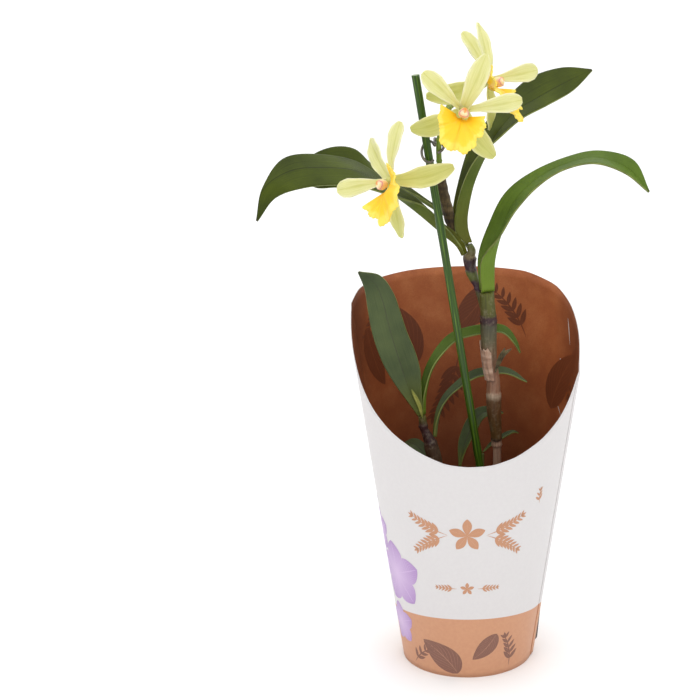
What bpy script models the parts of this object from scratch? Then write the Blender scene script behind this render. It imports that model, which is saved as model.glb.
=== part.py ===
"""A cattleya orchid on a green stake, growing in a plastic pot that stands in a flared card sleeve.

Lists of points are in millimetres. The origin is the centre of the pot's underside, the plant grows up +Z,
and the low front of the sleeve's cut faces -Y.
"""

import math

import bmesh
import bpy
import numpy as np
from mathutils import Matrix, Vector

MM = 0.001
GAP = 0.3  # clearance between pieces that touch, mm
BORE_GAP = 0.45  # the same in a stem's hole, over the corners of its facets
ROUND = 48  # facets round the sleeve and the pot

# Card sleeve: a cone, wider at the top, with a slanting cut and a glued lap
SLEEVE_BASE_R = 46.0
SLEEVE_FLARE = 0.1464  # growth of the radius per millimetre of height
CARD = 0.6
SLEEVE_ROWS = 3
LAP_FROM, LAP_TO = 78.0, 93.0  # degrees round from the front, towards +X
# Height of the cut edge at each angle from the front (degrees, +X side positive)
CUT_EDGE = [
    (-180, 265), (-150, 265), (-128, 264), (-114, 262), (-104, 255), (-90, 236), (-74, 212),
    (-60, 197), (-45, 185), (-28, 175), (-12, 168), (0, 166.5), (14, 167), (28, 171),
    (45, 180), (60, 191), (75, 206), (90, 221), (104, 237), (117, 250), (130, 259), (150, 264.5), (180, 265),
]

# Pot
POT_BASE_R = 42.0
POT_NECK_R = 57.2  # outside, just under the rim
POT_RIM_R = 60.8
POT_HEIGHT = 108.0
POT_WALL = 1.2
RIM_DEPTH = 12.0
POT_FLOOR = 1.6
DRAIN_HOLES, DRAIN_R, DRAIN_CIRCLE_R = 8, 4.0, 30.0

# Growing medium
BARK_TOP = 90.0
BARK_CHIPS = 26
CHIP_SPREAD = 46.0
TUBE_POINTS = 8  # rings along a stem that stands in the medium

# Bamboo stake
STAKE_R = 2.75
STAKE_FOOT = (30.2, -14.9, 12.0)
STAKE_TOP = (-34.6, -6.0, 421.9)

# Blooms: place of each flower's heart, the way it looks, each tepal's angle and backward lean,
# and the lip's own roll, nod, swing, relative size and shift to the right and up
TEPAL_THICK = 0.8
HEART_R = 3.2
DORSAL_LENGTH, PETAL_LENGTH, LATERAL_LENGTH = 42.0, 40.0, 43.0
BLOOMS = {
    "bloom_1": {
        "heart": (-50.6, -38.0, 357.3), "yaw": 45, "pitch": 3, "roll": 53,
        "dorsal": (95, 17), "petal_left": (144, -23), "petal_right": (31, 5),
        "lateral_left": (213, 18), "lateral_right": (327, 40), "lip": (-6, 10, 7, 1.02, -1.6, 1.2),
    },
    "bloom_2": {
        "heart": (-2.9, -30.0, 403.0), "yaw": -8, "pitch": 5, "roll": -18,
        "dorsal": (87, -17), "petal_left": (154, -17), "petal_right": (26, 0),
        "lateral_left": (223, 35), "lateral_right": (322, 19), "lip": (2, -1, -4.8, 0.89, 0.45, 0.3),
    },
    "bloom_3": {
        "heart": (13.7, 14.0, 414.4), "yaw": -56, "pitch": 11, "roll": -27,
        "dorsal": (97, 14), "petal_left": (145, 2), "petal_right": (27, -26),
        "lateral_left": (214, 48), "lateral_right": (325, 23), "lip": (14, 2, -1, 1.02, 0.2, 0.2),
    },
}

# Half widths along a blade, as (share of the length, share of the greatest half width)
STRAP_LEAF = [
    (0, 0.60), (0.12, 0.66), (0.3, 0.80), (0.5, 0.97), (0.66, 1), (0.82, 0.82), (0.93, 0.48), (1, 0.08),
]
BROAD_LEAF = [(0, 0.16), (0.12, 0.42), (0.3, 0.84), (0.5, 1), (0.72, 0.90), (0.88, 0.55), (1, 0.08)]
DORSAL = [(0, 0.46), (0.25, 0.72), (0.5, 0.96), (0.64, 1), (0.82, 0.82), (0.93, 0.50), (1, 0.14)]
PETAL = [(0, 0.28), (0.25, 0.42), (0.5, 0.78), (0.72, 1), (0.88, 0.86), (0.96, 0.56), (1, 0.22)]
LATERAL = [(0, 0.40), (0.2, 0.66), (0.45, 1), (0.65, 0.98), (0.85, 0.68), (0.96, 0.40), (1, 0.20)]

# Lip: radius of its outline about the foot of the column, in the flower's face (degrees, mm)
LIP_OUTLINE = [
    (-196, 18.6), (-183, 18.0), (-170, 18.0), (-155, 18.4), (-143, 17.2), (-134, 20.0), (-120, 22.8),
    (-104, 24.6), (-92, 22.8), (-84, 22.6), (-70, 24.2), (-56, 22.4), (-44, 20.6), (-36, 17.4),
    (-24, 18.2), (-10, 18.2), (4, 17.4), (16, 16.8), (26, 17.0),
]
LIP_FOOT_DROP = 5.8


def clear_scene():
    for old in list(bpy.data.objects):
        bpy.data.objects.remove(old, do_unlink=True)


def new_collection(name):
    made = bpy.data.collections.new(name)
    bpy.context.scene.collection.children.link(made)
    return made


clear_scene()
PLANT = new_collection("potted_cattleya_orchid")
CUTTERS = new_collection("cutters")
CUTTERS.hide_render = True


def material(name, colour, roughness, metallic=0.0):
    made = bpy.data.materials.new(name)
    made.use_nodes = True
    shader = made.node_tree.nodes["Principled BSDF"]
    shader.inputs["Base Color"].default_value = (*colour, 1.0)
    shader.inputs["Roughness"].default_value = roughness
    shader.inputs["Metallic"].default_value = metallic
    return made


CARD_WHITE = material("white_card", (0.82, 0.79, 0.77), 0.55)
POT_PLASTIC = material("brown_plastic", (0.10, 0.05, 0.035), 0.4)
BARK = material("pine_bark", (0.13, 0.06, 0.03), 0.95)
WOOD_ROOT = material("rhizome_skin", (0.16, 0.13, 0.05), 0.8)
STAKE_GREEN = material("green_bamboo", (0.02, 0.11, 0.02), 0.35)
CLIP_PLASTIC = material("smoky_plastic", (0.13, 0.11, 0.10), 0.3)
CANE = material("cane_skin", (0.13, 0.11, 0.04), 0.5)
CANE_GREEN = material("green_cane_skin", (0.11, 0.16, 0.04), 0.45)
DRY_SHEATH = material("dry_papery_sheath", (0.48, 0.30, 0.20), 0.8)
LEAF = material("leaf_green", (0.045, 0.13, 0.018), 0.4)
LEAF_DARK = material("leaf_dark_green", (0.03, 0.08, 0.03), 0.4)
LEAF_PALE = material("leaf_pale_green", (0.18, 0.25, 0.05), 0.5)
STEM = material("flower_stem_green", (0.16, 0.32, 0.04), 0.45)
TEPAL = material("tepal_pale_green", (0.62, 0.68, 0.26), 0.5)
LIP = material("lip_yellow", (0.85, 0.52, 0.01), 0.5)
COLUMN = material("column_cream", (0.80, 0.55, 0.35), 0.45)


def along(points, count, ease=1.0):
    """Places on a smooth curve through the points, closer together at its end where ease is over 1."""
    points = np.array(points, float)
    before, after = 2 * points[0] - points[1], 2 * points[-1] - points[-2]
    padded = np.vstack([before, points, after])
    dense = []
    for a, b, c, d in zip(padded, padded[1:], padded[2:], padded[3:]):
        for s in np.linspace(0, 1, 16, endpoint=False):
            bend = 2 * a - 5 * b + 4 * c - d
            turn = 3 * b - a - 3 * c + d
            dense.append(0.5 * (2 * b + (c - a) * s + bend * s**2 + turn * s**3))
    dense = np.array(dense + [points[-1]])
    steps = np.linalg.norm(np.diff(dense[:, :3], axis=0), axis=1)
    run = np.concatenate([[0], np.cumsum(steps)])
    share = 1 - (1 - np.linspace(0, 1, count)) ** ease
    return np.stack([np.interp(share * run[-1], run, column) for column in dense.T], axis=1)


def read_smooth(pairs, place):
    """The value at a place, eased between (place, value) pairs so that the outline has no corners."""
    places, values = zip(*pairs)
    reach = 0.35 * min(np.diff(places))
    around = np.interp([place - reach, place, place + reach], places, values)
    return float(around @ [0.25, 0.5, 0.25])


def unit(vector):
    return vector / np.linalg.norm(vector)


def link(name, mesh, skin, collection=PLANT):
    made = bpy.data.objects.new(name, mesh)
    collection.objects.link(made)
    if not mesh.materials:
        mesh.materials.append(skin)
    return made


def move_to(obj, collection):
    for holder in list(obj.users_collection):
        holder.objects.unlink(obj)
    collection.objects.link(obj)


def grid_object(name, rows, columns, place, skin, seam=False):
    """A grid whose point (along 0..1, across -1..1) goes to place(along, across), in mm."""
    bm = bmesh.new()
    bmesh.ops.create_grid(bm, x_segments=rows, y_segments=columns, size=1)
    for vert in bm.verts:
        vert.co = Vector(place((vert.co.x + 1) / 2, vert.co.y)) * MM
    if seam:
        bmesh.ops.remove_doubles(bm, verts=bm.verts, dist=0.01 * MM)
    bmesh.ops.triangulate(bm, faces=bm.faces)
    mesh = bpy.data.meshes.new(name)
    bm.to_mesh(mesh)
    bm.free()
    mesh.shade_smooth()
    return link(name, mesh, skin)


def thicken(obj, thickness, offset=0.0):
    solidify = obj.modifiers.new("thickness", "SOLIDIFY")
    solidify.thickness = thickness * MM
    solidify.offset = offset
    return obj


def applied(obj):
    """The object with its modifiers or its bevelled curve turned into one welded mesh."""
    graph = bpy.context.evaluated_depsgraph_get()
    mesh = bpy.data.meshes.new_from_object(obj.evaluated_get(graph))
    bm = bmesh.new()
    bm.from_mesh(mesh)
    bmesh.ops.remove_doubles(bm, verts=bm.verts, dist=0.002 * MM)
    bmesh.ops.triangulate(bm, faces=bm.faces)
    bm.to_mesh(mesh)
    bm.free()
    name, place, skin = obj.name, obj.matrix_world.copy(), obj.data.materials[0]
    bpy.data.objects.remove(obj, do_unlink=True)
    made = link(name, mesh, skin)
    made.matrix_world = place
    return made


def boolean(obj, operation, other, solver="EXACT"):
    cut = obj.modifiers.new(operation.lower(), "BOOLEAN")
    cut.operation = operation
    cut.solver = solver
    if isinstance(other, bpy.types.Collection):
        cut.operand_type = "COLLECTION"
        cut.collection = other
    else:
        cut.object = other
    return obj


def fuse(name, pieces, solver="EXACT"):
    """The pieces joined into one body by a Boolean union on a collection."""
    others = new_collection(name + "_pieces")
    for piece in pieces[1:]:
        move_to(piece, others)
    bpy.context.view_layer.update()
    made = applied(boolean(pieces[0], "UNION", others, solver))
    for piece in list(others.objects):
        bpy.data.objects.remove(piece, do_unlink=True)
    bpy.data.collections.remove(others)
    made.name = name
    return made


def drop_scraps(obj):
    """Deletes the loose slivers that Booleans leave, so that the largest body stays."""
    bm = bmesh.new()
    bm.from_mesh(obj.data)
    left, bodies = set(bm.verts), []
    while left:
        body, edge = set(), [left.pop()]
        while edge:
            vert = edge.pop()
            body.add(vert)
            near = {link.other_vert(vert) for link in vert.link_edges} & left
            left -= near
            edge.extend(near)
        bodies.append(body)
    bodies.sort(key=len)
    bmesh.ops.delete(bm, geom=[vert for body in bodies[:-1] for vert in body], context="VERTS")
    bm.to_mesh(obj.data)
    bm.free()
    return obj


def tube(name, route, skin, count, sides=8, as_mesh=False, clearance=0.0):
    """A round stem through (x, y, z, radius) points. Clearance widens it and lengthens its foot."""
    places = along(route, count)
    foot = unit(places[0, :3] - places[1, :3])
    places[0, :3] += clearance * foot
    places[:, 3] += clearance
    thickest = places[:, 3].max()
    curve = bpy.data.curves.new(name, "CURVE")
    curve.dimensions = "3D"
    curve.bevel_depth = thickest * MM
    curve.bevel_resolution = (sides - 4) // 2
    curve.use_fill_caps = True
    spline = curve.splines.new("POLY")
    spline.points.add(count - 1)
    for point, (x, y, z, radius) in zip(spline.points, places):
        point.co = (x * MM, y * MM, z * MM, 1)
        point.radius = radius / thickest
    curve.materials.append(skin)
    made = bpy.data.objects.new(name, curve)
    PLANT.objects.link(made)
    bpy.context.view_layer.update()
    return applied(made) if as_mesh else made


def tunnel(route):
    """A cutter round a stem's route, wider than the stem and deeper than its foot."""
    cutter = tube("tunnel", route, CANE, TUBE_POINTS, 12, True, BORE_GAP)
    move_to(cutter, CUTTERS)
    cutter.hide_render = True
    cutter.display_type = "WIRE"
    return cutter


def blade(
    name, spine, outline, width, faces, fold, skin, thickness=0.9, rows=12, columns=2, wave=(0, 0)
):
    """A leaf or petal: a grid carried along its midrib.

    faces are the ways its upper side looks, from base to tip. fold is how far each half rises from flat
    at the base and at the tip, in degrees. wave is the height and the number of ripples at its edges.
    """
    places = along(spine, rows + 1, ease=1.25)
    steps = np.linalg.norm(np.diff(places, axis=0), axis=1)
    shares = np.concatenate([[0], np.cumsum(steps)]) / steps.sum()
    faces = np.array(faces, float)
    ways = np.linspace(0, 1, len(faces))

    def place(share, across):
        index = round(share * rows)
        here = places[index]
        ahead, behind = places[min(index + 1, rows)], places[max(index - 1, 0)]
        run = unit(ahead - behind)
        length = shares[index]
        look = np.array([np.interp(length, ways, faces[:, axis]) for axis in range(3)])
        up = unit(look - (look @ run) * run)
        side = np.cross(up, run)
        half = 0.5 * width * read_smooth(outline, length)
        rise = math.radians(np.interp(length, [0, 1], fold)) * abs(across) ** 0.15
        ripple = wave[0] * across**3 * math.sin(2 * math.pi * (wave[1] * length + 0.2 * across))
        lift = abs(across) * half * math.sin(rise) + ripple
        return here + side * across * half * math.cos(rise) + up * lift

    return thicken(grid_object(name, rows, columns, place, skin), thickness)


def ribbon(name, far, keel, near, skin, thickness=1.2, rows=16):
    """A long leaf between its far edge, its keel and its near edge, each listed from base to tip."""
    routes = [along(points, rows + 1, ease=1.25) for points in (far, keel, near)]

    def place(share, across):
        behind, middle, front = (route[round(share * rows)] for route in routes)
        edge = behind if across < 0 else front
        return middle + (edge - middle) * abs(across)

    return thicken(grid_object(name, rows, 4, place, skin), thickness)


def cone_point(angle, height, radius_extra=0.0):
    """A point on the outside of the sleeve, at an angle from the front."""
    radius = SLEEVE_BASE_R + SLEEVE_FLARE * height + radius_extra
    turn = math.radians(angle)
    return (radius * math.sin(turn), -radius * math.cos(turn), height)


def make_sleeve():
    """The card cone, cut from one blank and glued along its lap."""

    def wrap(share, across):
        angle = -180 + 360 * share
        return cone_point(angle, read_smooth(CUT_EDGE, angle) * (across + 1) / 2)

    cone = applied(thicken(grid_object("sleeve", ROUND, SLEEVE_ROWS, wrap, CARD_WHITE, seam=True), CARD, -1))

    def lap(share, across):
        angle = LAP_FROM + (LAP_TO - LAP_FROM) * share
        top = read_smooth(CUT_EDGE, angle) - 1.5
        return cone_point(angle, 1.0 + (top - 1.0) * (across + 1) / 2, CARD - 0.15)

    flap = applied(thicken(grid_object("lap", 4, SLEEVE_ROWS, lap, CARD_WHITE), CARD, -1))
    return fuse("sleeve", [cone, flap])


def turned(name, profile, skin):
    """A profile of (radius, height) points turned about the vertical axis."""
    mesh = bpy.data.meshes.new(name)
    points = [(radius * MM, 0, height * MM) for radius, height in profile]
    mesh.from_pydata(points, [(i, i + 1) for i in range(len(points) - 1)], [])
    made = link(name, mesh, skin)
    screw = made.modifiers.new("turn", "SCREW")
    screw.steps = screw.render_steps = ROUND
    screw.use_merge_vertices = True
    screw.merge_threshold = 0.01 * MM
    return made


def pot_inner_radius(height):
    lean = (POT_NECK_R - POT_BASE_R) / (POT_HEIGHT - RIM_DEPTH)
    return POT_BASE_R + lean * height - POT_WALL


def make_pot():
    """A round plastic pot with a stepped rim and drain holes round a solid centre."""
    step = POT_HEIGHT - RIM_DEPTH
    profile = [
        (0, POT_FLOOR),
        (pot_inner_radius(POT_FLOOR), POT_FLOOR),
        (POT_NECK_R - POT_WALL, step),
        (POT_NECK_R + 0.5, step + 1.5),
        (POT_RIM_R - 1.4, POT_HEIGHT),
        (POT_RIM_R, POT_HEIGHT),
        (POT_RIM_R - 1.8, step),
        (POT_NECK_R, step - 1),
        (POT_BASE_R, 0),
        (0, 0),
    ]
    pot = turned("pot", profile, POT_PLASTIC)
    for number in range(DRAIN_HOLES):
        turn = 2 * math.pi * number / DRAIN_HOLES
        centre = (DRAIN_CIRCLE_R * math.cos(turn) * MM, DRAIN_CIRCLE_R * math.sin(turn) * MM, 0)
        bpy.ops.mesh.primitive_cylinder_add(vertices=16, radius=DRAIN_R * MM, depth=10 * MM, location=centre)
        drill = bpy.context.object
        drill.name = "drain_cutter"
        drill.hide_render = True
        drill.display_type = "WIRE"
        move_to(drill, CUTTERS)
        boolean(pot, "DIFFERENCE", drill)
    return applied(pot)


# Stems: (x, y, z, radius) from the medium upwards. Steps in the radius are the rings of old leaf joints
RHIZOME_ROUTE = [
    (-33, -4, 92, 3.2), (-23, -4, 92, 4.2), (-8, 0, 92.5, 4.5), (8, 4, 92, 4.5), (21, 5, 92, 4.6),
    (30, 6, 92, 3.6),
]
CANE_MAIN_ROUTE = [
    (21.5, 4.5, 97.2, 3.6), (21.2, 4.2, 120, 3.0), (21.1, 4, 142, 2.9), (21, 4, 154, 2.9),
    (20.9, 4, 156, 3.5), (20.1, 4, 168, 4.1), (18.8, 4, 182, 5.1), (18.6, 4, 192, 5.3),
    (18.4, 4, 196, 4.9), (18.0, 4, 206, 4.6), (16.2, 4, 217, 4.8), (15.2, 4, 231, 5.4),
    (15.0, 4, 244, 5.8), (14.9, 4, 247, 5.9), (14.6, 4, 253, 5.4), (13.9, 4, 262, 5.1),
    (13.6, 4, 268.4, 5.0),
]
CANE_BACK_ROUTE = [
    (13.4, 12.4, 246, 2.4), (10.6, 13, 258, 2.6), (7.4, 13.2, 270, 2.9), (5, 13.2, 275, 3.3),
    (3.0, 13, 280, 3.9), (2.6, 12.9, 282, 3.7), (1.8, 12.4, 287, 4.3), (1.8, 12, 291, 4.8),
    (2.4, 11.8, 293, 3.3), (3.1, 11.6, 295.7, 2.9), (2.3, 11.2, 298.3, 2.6), (1.5, 11, 300.5, 2.1),
]
CANE_LEFT_ROUTE = [
    (-22, -4, 97.0, 4.2), (-21.5, -4, 120, 4.8), (-22.6, -4, 145, 5.2), (-25.4, -4, 158, 4.9),
    (-26.2, -4, 161.5, 4.2), (-29.6, -4, 169.5, 2.9), (-30.6, -4, 172.5, 3.0), (-31.6, -4, 180.6, 2.6),
]
SHOOTS = {
    "shoot_1": [(-5.5, 4.4, 96.9, 2.4), (-5.5, 8.5, 120, 2.0), (-5.2, 10, 137.4, 1.7)],
    "shoot_2": [(10, 9.0, 96.0, 2.4), (10.2, 15, 120, 2.0), (10.6, 20, 144.0, 1.6)],
    "shoot_3": [(-25.5, 2.8, 96.6, 2.4), (-25.4, 12, 116, 2.0), (-25.1, 18, 134.0, 1.7)],
}
STAKE_ROUTE = [(*STAKE_FOOT, STAKE_R), (*STAKE_TOP, STAKE_R)]


def make_medium(stems):
    """Bark chips heaped on a core that fills the pot, with a plain hole for each stem."""
    floor = POT_FLOOR + 0.4
    inner = [
        (0, floor),
        (pot_inner_radius(floor) - GAP - 0.2, floor),
        (pot_inner_radius(BARK_TOP) - GAP - 0.2, BARK_TOP),
        (0, BARK_TOP),
    ]
    core = applied(turned("bark_mix", inner[::-1], BARK))
    draw = np.random.default_rng(7)
    chips = []
    for number in range(BARK_CHIPS):
        x, y, _ = ring_point((0, 0), CHIP_SPREAD * math.sqrt((number + 0.5) / BARK_CHIPS), 2.4 * number, 0)
        place = Vector((x, y, BARK_TOP + draw.uniform(-0.5, 2.5))) * MM
        tilt = (*draw.uniform(-0.5, 0.5, 2), draw.uniform(0, 6))
        bpy.ops.mesh.primitive_cube_add(size=1, location=place, rotation=tilt)
        chip = bpy.context.object
        chip.scale = (draw.uniform(11, 18) * MM, draw.uniform(7, 11) * MM, draw.uniform(5, 8) * MM)
        bpy.ops.object.transform_apply(location=False, rotation=False, scale=True)
        for vert in chip.data.vertices:
            vert.co.x *= 1 - 0.25 * draw.uniform(0, 1)
            vert.co.y *= 1 - 0.25 * draw.uniform(0, 1)
        chip.data.materials.append(BARK)
        move_to(chip, PLANT)
        chips.append(chip)
    medium = fuse("bark_mix", [core] + chips)
    for route in stems:
        boolean(medium, "DIFFERENCE", tunnel(route))
    return drop_scraps(applied(medium))


def ring_point(centre, radius, turn, height):
    return (centre[0] + radius * math.cos(turn), centre[1] + radius * math.sin(turn), height)


def make_clip():
    """A sprung plastic clip: one loop round the stake, a bar, and one loop round the flower stem."""
    wire = 0.9
    stake_at, stem_at = (-26.1, -7.2), (-19.2, -0.2)
    route = []
    for share in np.linspace(0, 1, 9):
        turn = math.radians(-40 - 300 * share)
        route.append((*ring_point(stake_at, 4.6, turn, 368 + 5 * math.sin(turn) + 4 * share), wire))
    for share in np.linspace(0, 1, 7):
        turn = math.radians(150 - 250 * share)
        route.append((*ring_point(stem_at, 3.25, turn, 377 - 9 * share), wire))
    return tube("stake_clip", route, CLIP_PLASTIC, 30, 6)


def flower_frame(bloom):
    """The matrix from a flower's own axes (X its right, -Y the way it looks, Z its top) to the plant's."""
    heart = Vector(bloom["heart"]) * MM
    turn = Matrix.Rotation(-math.radians(bloom["yaw"]), 4, "Z")
    nod = Matrix.Rotation(-math.radians(bloom["pitch"]), 4, "X")
    roll = Matrix.Rotation(-math.radians(bloom["roll"]), 4, "Y")
    return Matrix.Translation(heart) @ turn @ nod @ roll


def make_tepal(name, angle, lean, length, width, outline, bow, sickle=0.0):
    """A petal or sepal that leaves the flower's heart at an angle, leaning back, in its own axes."""
    turn, back = math.radians(angle), math.radians(lean)
    way = np.array([math.cos(turn), 0, math.sin(turn)])
    sideways = np.array([-math.sin(turn), 0, math.cos(turn)])
    rear = np.array([0, 1.0, 0])
    spine = []
    for share in np.linspace(0, 1, 6):
        run = 1.2 + (length - 1.2) * share
        arch = 4 * share * (1 - share)
        middle = way * math.cos(back) + rear * math.sin(back)
        spine.append(middle * run - rear * bow * arch + sideways * sickle * arch)
    face = way * math.sin(back) - rear * math.cos(back)
    return blade(name, spine, outline, width, [face, face], (24, 8), TEPAL, TEPAL_THICK, 8, 4, (0.35, 1.3))


def make_tepals(name, bloom):
    """Three sepals and two petals, grown together round the heart of the flower."""
    parts = [
        ("dorsal", DORSAL_LENGTH, 14.7, DORSAL, 1.5, 0.0),
        ("lateral_left", LATERAL_LENGTH, 15.0, LATERAL, 1.5, 2.6),
        ("lateral_right", LATERAL_LENGTH, 15.0, LATERAL, 1.5, -2.6),
        ("petal_left", PETAL_LENGTH, 13.2, PETAL, 2.2, 0.0),
        ("petal_right", PETAL_LENGTH, 13.2, PETAL, 2.2, 0.0),
    ]
    bpy.ops.mesh.primitive_uv_sphere_add(segments=10, ring_count=6, radius=HEART_R * MM)
    heart = bpy.context.object
    heart.data.materials.append(TEPAL)
    move_to(heart, PLANT)
    pieces = [heart]
    for part, length, width, outline, bow, sickle in parts:
        angle, lean = bloom[part]
        pieces.append(applied(make_tepal(part, angle, lean, length, width, outline, bow, sickle)))
    made = fuse(name + "_tepals", pieces)
    made.matrix_world = flower_frame(bloom)
    return made


def lip_frame(bloom, size):
    """The matrix from the lip's and the column's own axes to the plant's."""
    roll, nod, swing, _, right, up = bloom["lip"]
    foot = Matrix.Translation(Vector((0, -1.0, -3.0)) * MM)
    shift = Matrix.Translation(Vector((right, 0, up)) * MM)
    turn = Matrix.Rotation(math.radians(roll), 4, "Y") @ Matrix.Rotation(math.radians(nod), 4, "X")
    turn = turn @ Matrix.Rotation(math.radians(swing), 4, "Z") @ Matrix.Scale(size, 4)
    return flower_frame(bloom) @ shift @ foot @ turn @ foot.inverted()


def lip_place(share, across):
    """A point on the lip: round its fan by share, from the throat (across -1) to the rim (across 1)."""
    first, last = LIP_OUTLINE[0][0], LIP_OUTLINE[-1][0]
    angle = first + (last - first) * share
    turn = math.radians(angle)
    down = max(0.0, 0.5 - 0.5 * math.sin(turn))
    throat = 6.4 - 9.0 * down**2
    out = (across + 1) / 2
    frill = 1.0 * math.sin(2 * math.pi * 7 * share) * out**3
    rim = read_smooth(LIP_OUTLINE, angle) + 0.6 * math.sin(2 * math.pi * 9 * share + 1)
    radius = throat + (rim - throat) * out
    drop = max(0.0, radius * down - 0.6)
    forward = 2.2 + 13.0 * down * (1 - math.exp(-drop / 2.6)) + 0.6 * (radius - throat)
    crease = math.exp(-(((angle + 38) / 9) ** 2)) + math.exp(-(((angle + 142) / 9) ** 2))
    forward += frill - 2.0 * crease * out
    return (radius * math.cos(turn), -forward, radius * math.sin(turn) - LIP_FOOT_DROP)


def make_lip(name, bloom):
    """The frilled yellow lip, a fan that wraps the column at its throat and hangs forward."""
    made = thicken(grid_object(name + "_lip", 24, 5, lip_place, LIP), 0.7)
    made.matrix_world = lip_frame(bloom, bloom["lip"][3])
    return made


def make_column(name, bloom):
    """The hooded column that stands forward over the lip's throat."""
    bm = bmesh.new()
    bmesh.ops.create_uvsphere(bm, u_segments=10, v_segments=6, radius=1)
    for vert in bm.verts:
        x, y, z = vert.co
        wide = (1.0 - 0.28 * z) * (1.0 - 0.22 * y)
        vert.co = Vector((3.4 * x * wide, -8.4 + 5.0 * y, -1.4 + 3.7 * z)) * MM
    mesh = bpy.data.meshes.new(name + "_column")
    bm.to_mesh(mesh)
    bm.free()
    mesh.shade_smooth()
    made = link(name + "_column", mesh, COLUMN)
    made.matrix_world = lip_frame(bloom, 1.0)
    return made


def behind(bloom, distance):
    """A point behind a flower's heart, in mm."""
    return tuple(flower_frame(bloom) @ Vector((0, distance * MM, 0)) / MM)


def make_flower_stem():
    """The flower stem inside its sheath, and a stalk to each bloom."""
    stem = [
        (-9.4, 12.6, 311.6, 1.2), (-11.2, 12.1, 316.5, 1.5), (-13.8, 10.3, 327, 1.6), (-16.4, 7, 338, 1.8),
        (-18.0, 3, 350, 1.85), (-19.0, 0.4, 362, 1.85), (-19.2, -0.4, 372, 1.9), (-18.2, -0.8, 381, 2.0),
    ]
    stalks = [
        [
            (-18.8, 1, 358.5, 1.3), (-16.5, -7, 358, 1.2), (-19.5, -18, 355, 1.2), (-30, -24, 354, 1.3),
            (-40, -28.5, 355.4, 1.5),
        ],
        [(-18.6, 0, 377, 1.6), (-15.0, -4, 390, 1.4), (-11.5, -9, 400, 1.4), (-6.5, -17, 404.5, 1.5)],
        [(-18.6, 0, 377, 1.6), (-16.5, 8, 389, 1.4), (-10, 18, 401, 1.4), (-1, 22, 409.5, 1.5)],
    ]
    pieces = [tube("flower_stem", stem, STEM, 12, as_mesh=True)]
    for number, (stalk, bloom) in enumerate(zip(stalks, BLOOMS.values())):
        end = behind(bloom, HEART_R + GAP)
        pieces.append(tube(f"stalk_{number}", stalk + [(*end, 1.6)], STEM, 8, 6, as_mesh=True))
    return fuse("flower_stem", pieces)


def make_flower_sheath():
    """The brown papery sheath round the foot of the flower stem, open at the top."""
    foot_to_mouth = [
        (-2.0, 11.8, 304.4, 0.8), (-4.6, 12.1, 305.8, 1.3), (-7.2, 12.4, 308, 2.0), (-9.6, 12.4, 312, 2.7),
        (-11.4, 12, 317, 3.2), (-13.8, 10.3, 327, 3.4),
        (-16.4, 7, 338, 3.2), (-18.0, 3, 350, 2.8),
    ]
    route = along(foot_to_mouth, 9)

    def wrap(share, across):
        index = round(share * 8)
        here = route[index]
        run = unit(route[min(index + 1, 8)][:3] - route[max(index - 1, 0)][:3])
        side = unit(np.cross(run, (0, -1.0, 0)))
        front = np.cross(side, run)
        turn = math.pi * across
        return here[:3] + here[3] * (side * math.cos(turn) - front * math.sin(turn))

    made = grid_object("flower_sheath", 8, 10, wrap, CANE, seam=True)
    return thicken(made, 0.6, -1)


def make_dry_sheath():
    """Dry papery sheath peeling from the left of the main cane, torn along its top edge."""

    def wrap(share, across):
        turn = math.radians(130 + 150 * share)
        torn = 233 - 7 * share + 1.6 * math.sin(9 * share)
        height = 205 + (torn - 205) * (across + 1) / 2
        x = np.interp(height, [206, 217, 231], [18.0, 16.2, 15.2])
        radius = np.interp(height, [205, 217, 231], [5.4, 5.6, 6.3])
        return (x + radius * math.cos(turn), 4 + radius * math.sin(turn), height)

    return thicken(grid_object("dry_sheath", 10, 3, wrap, DRY_SHEATH), 0.6)


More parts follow.
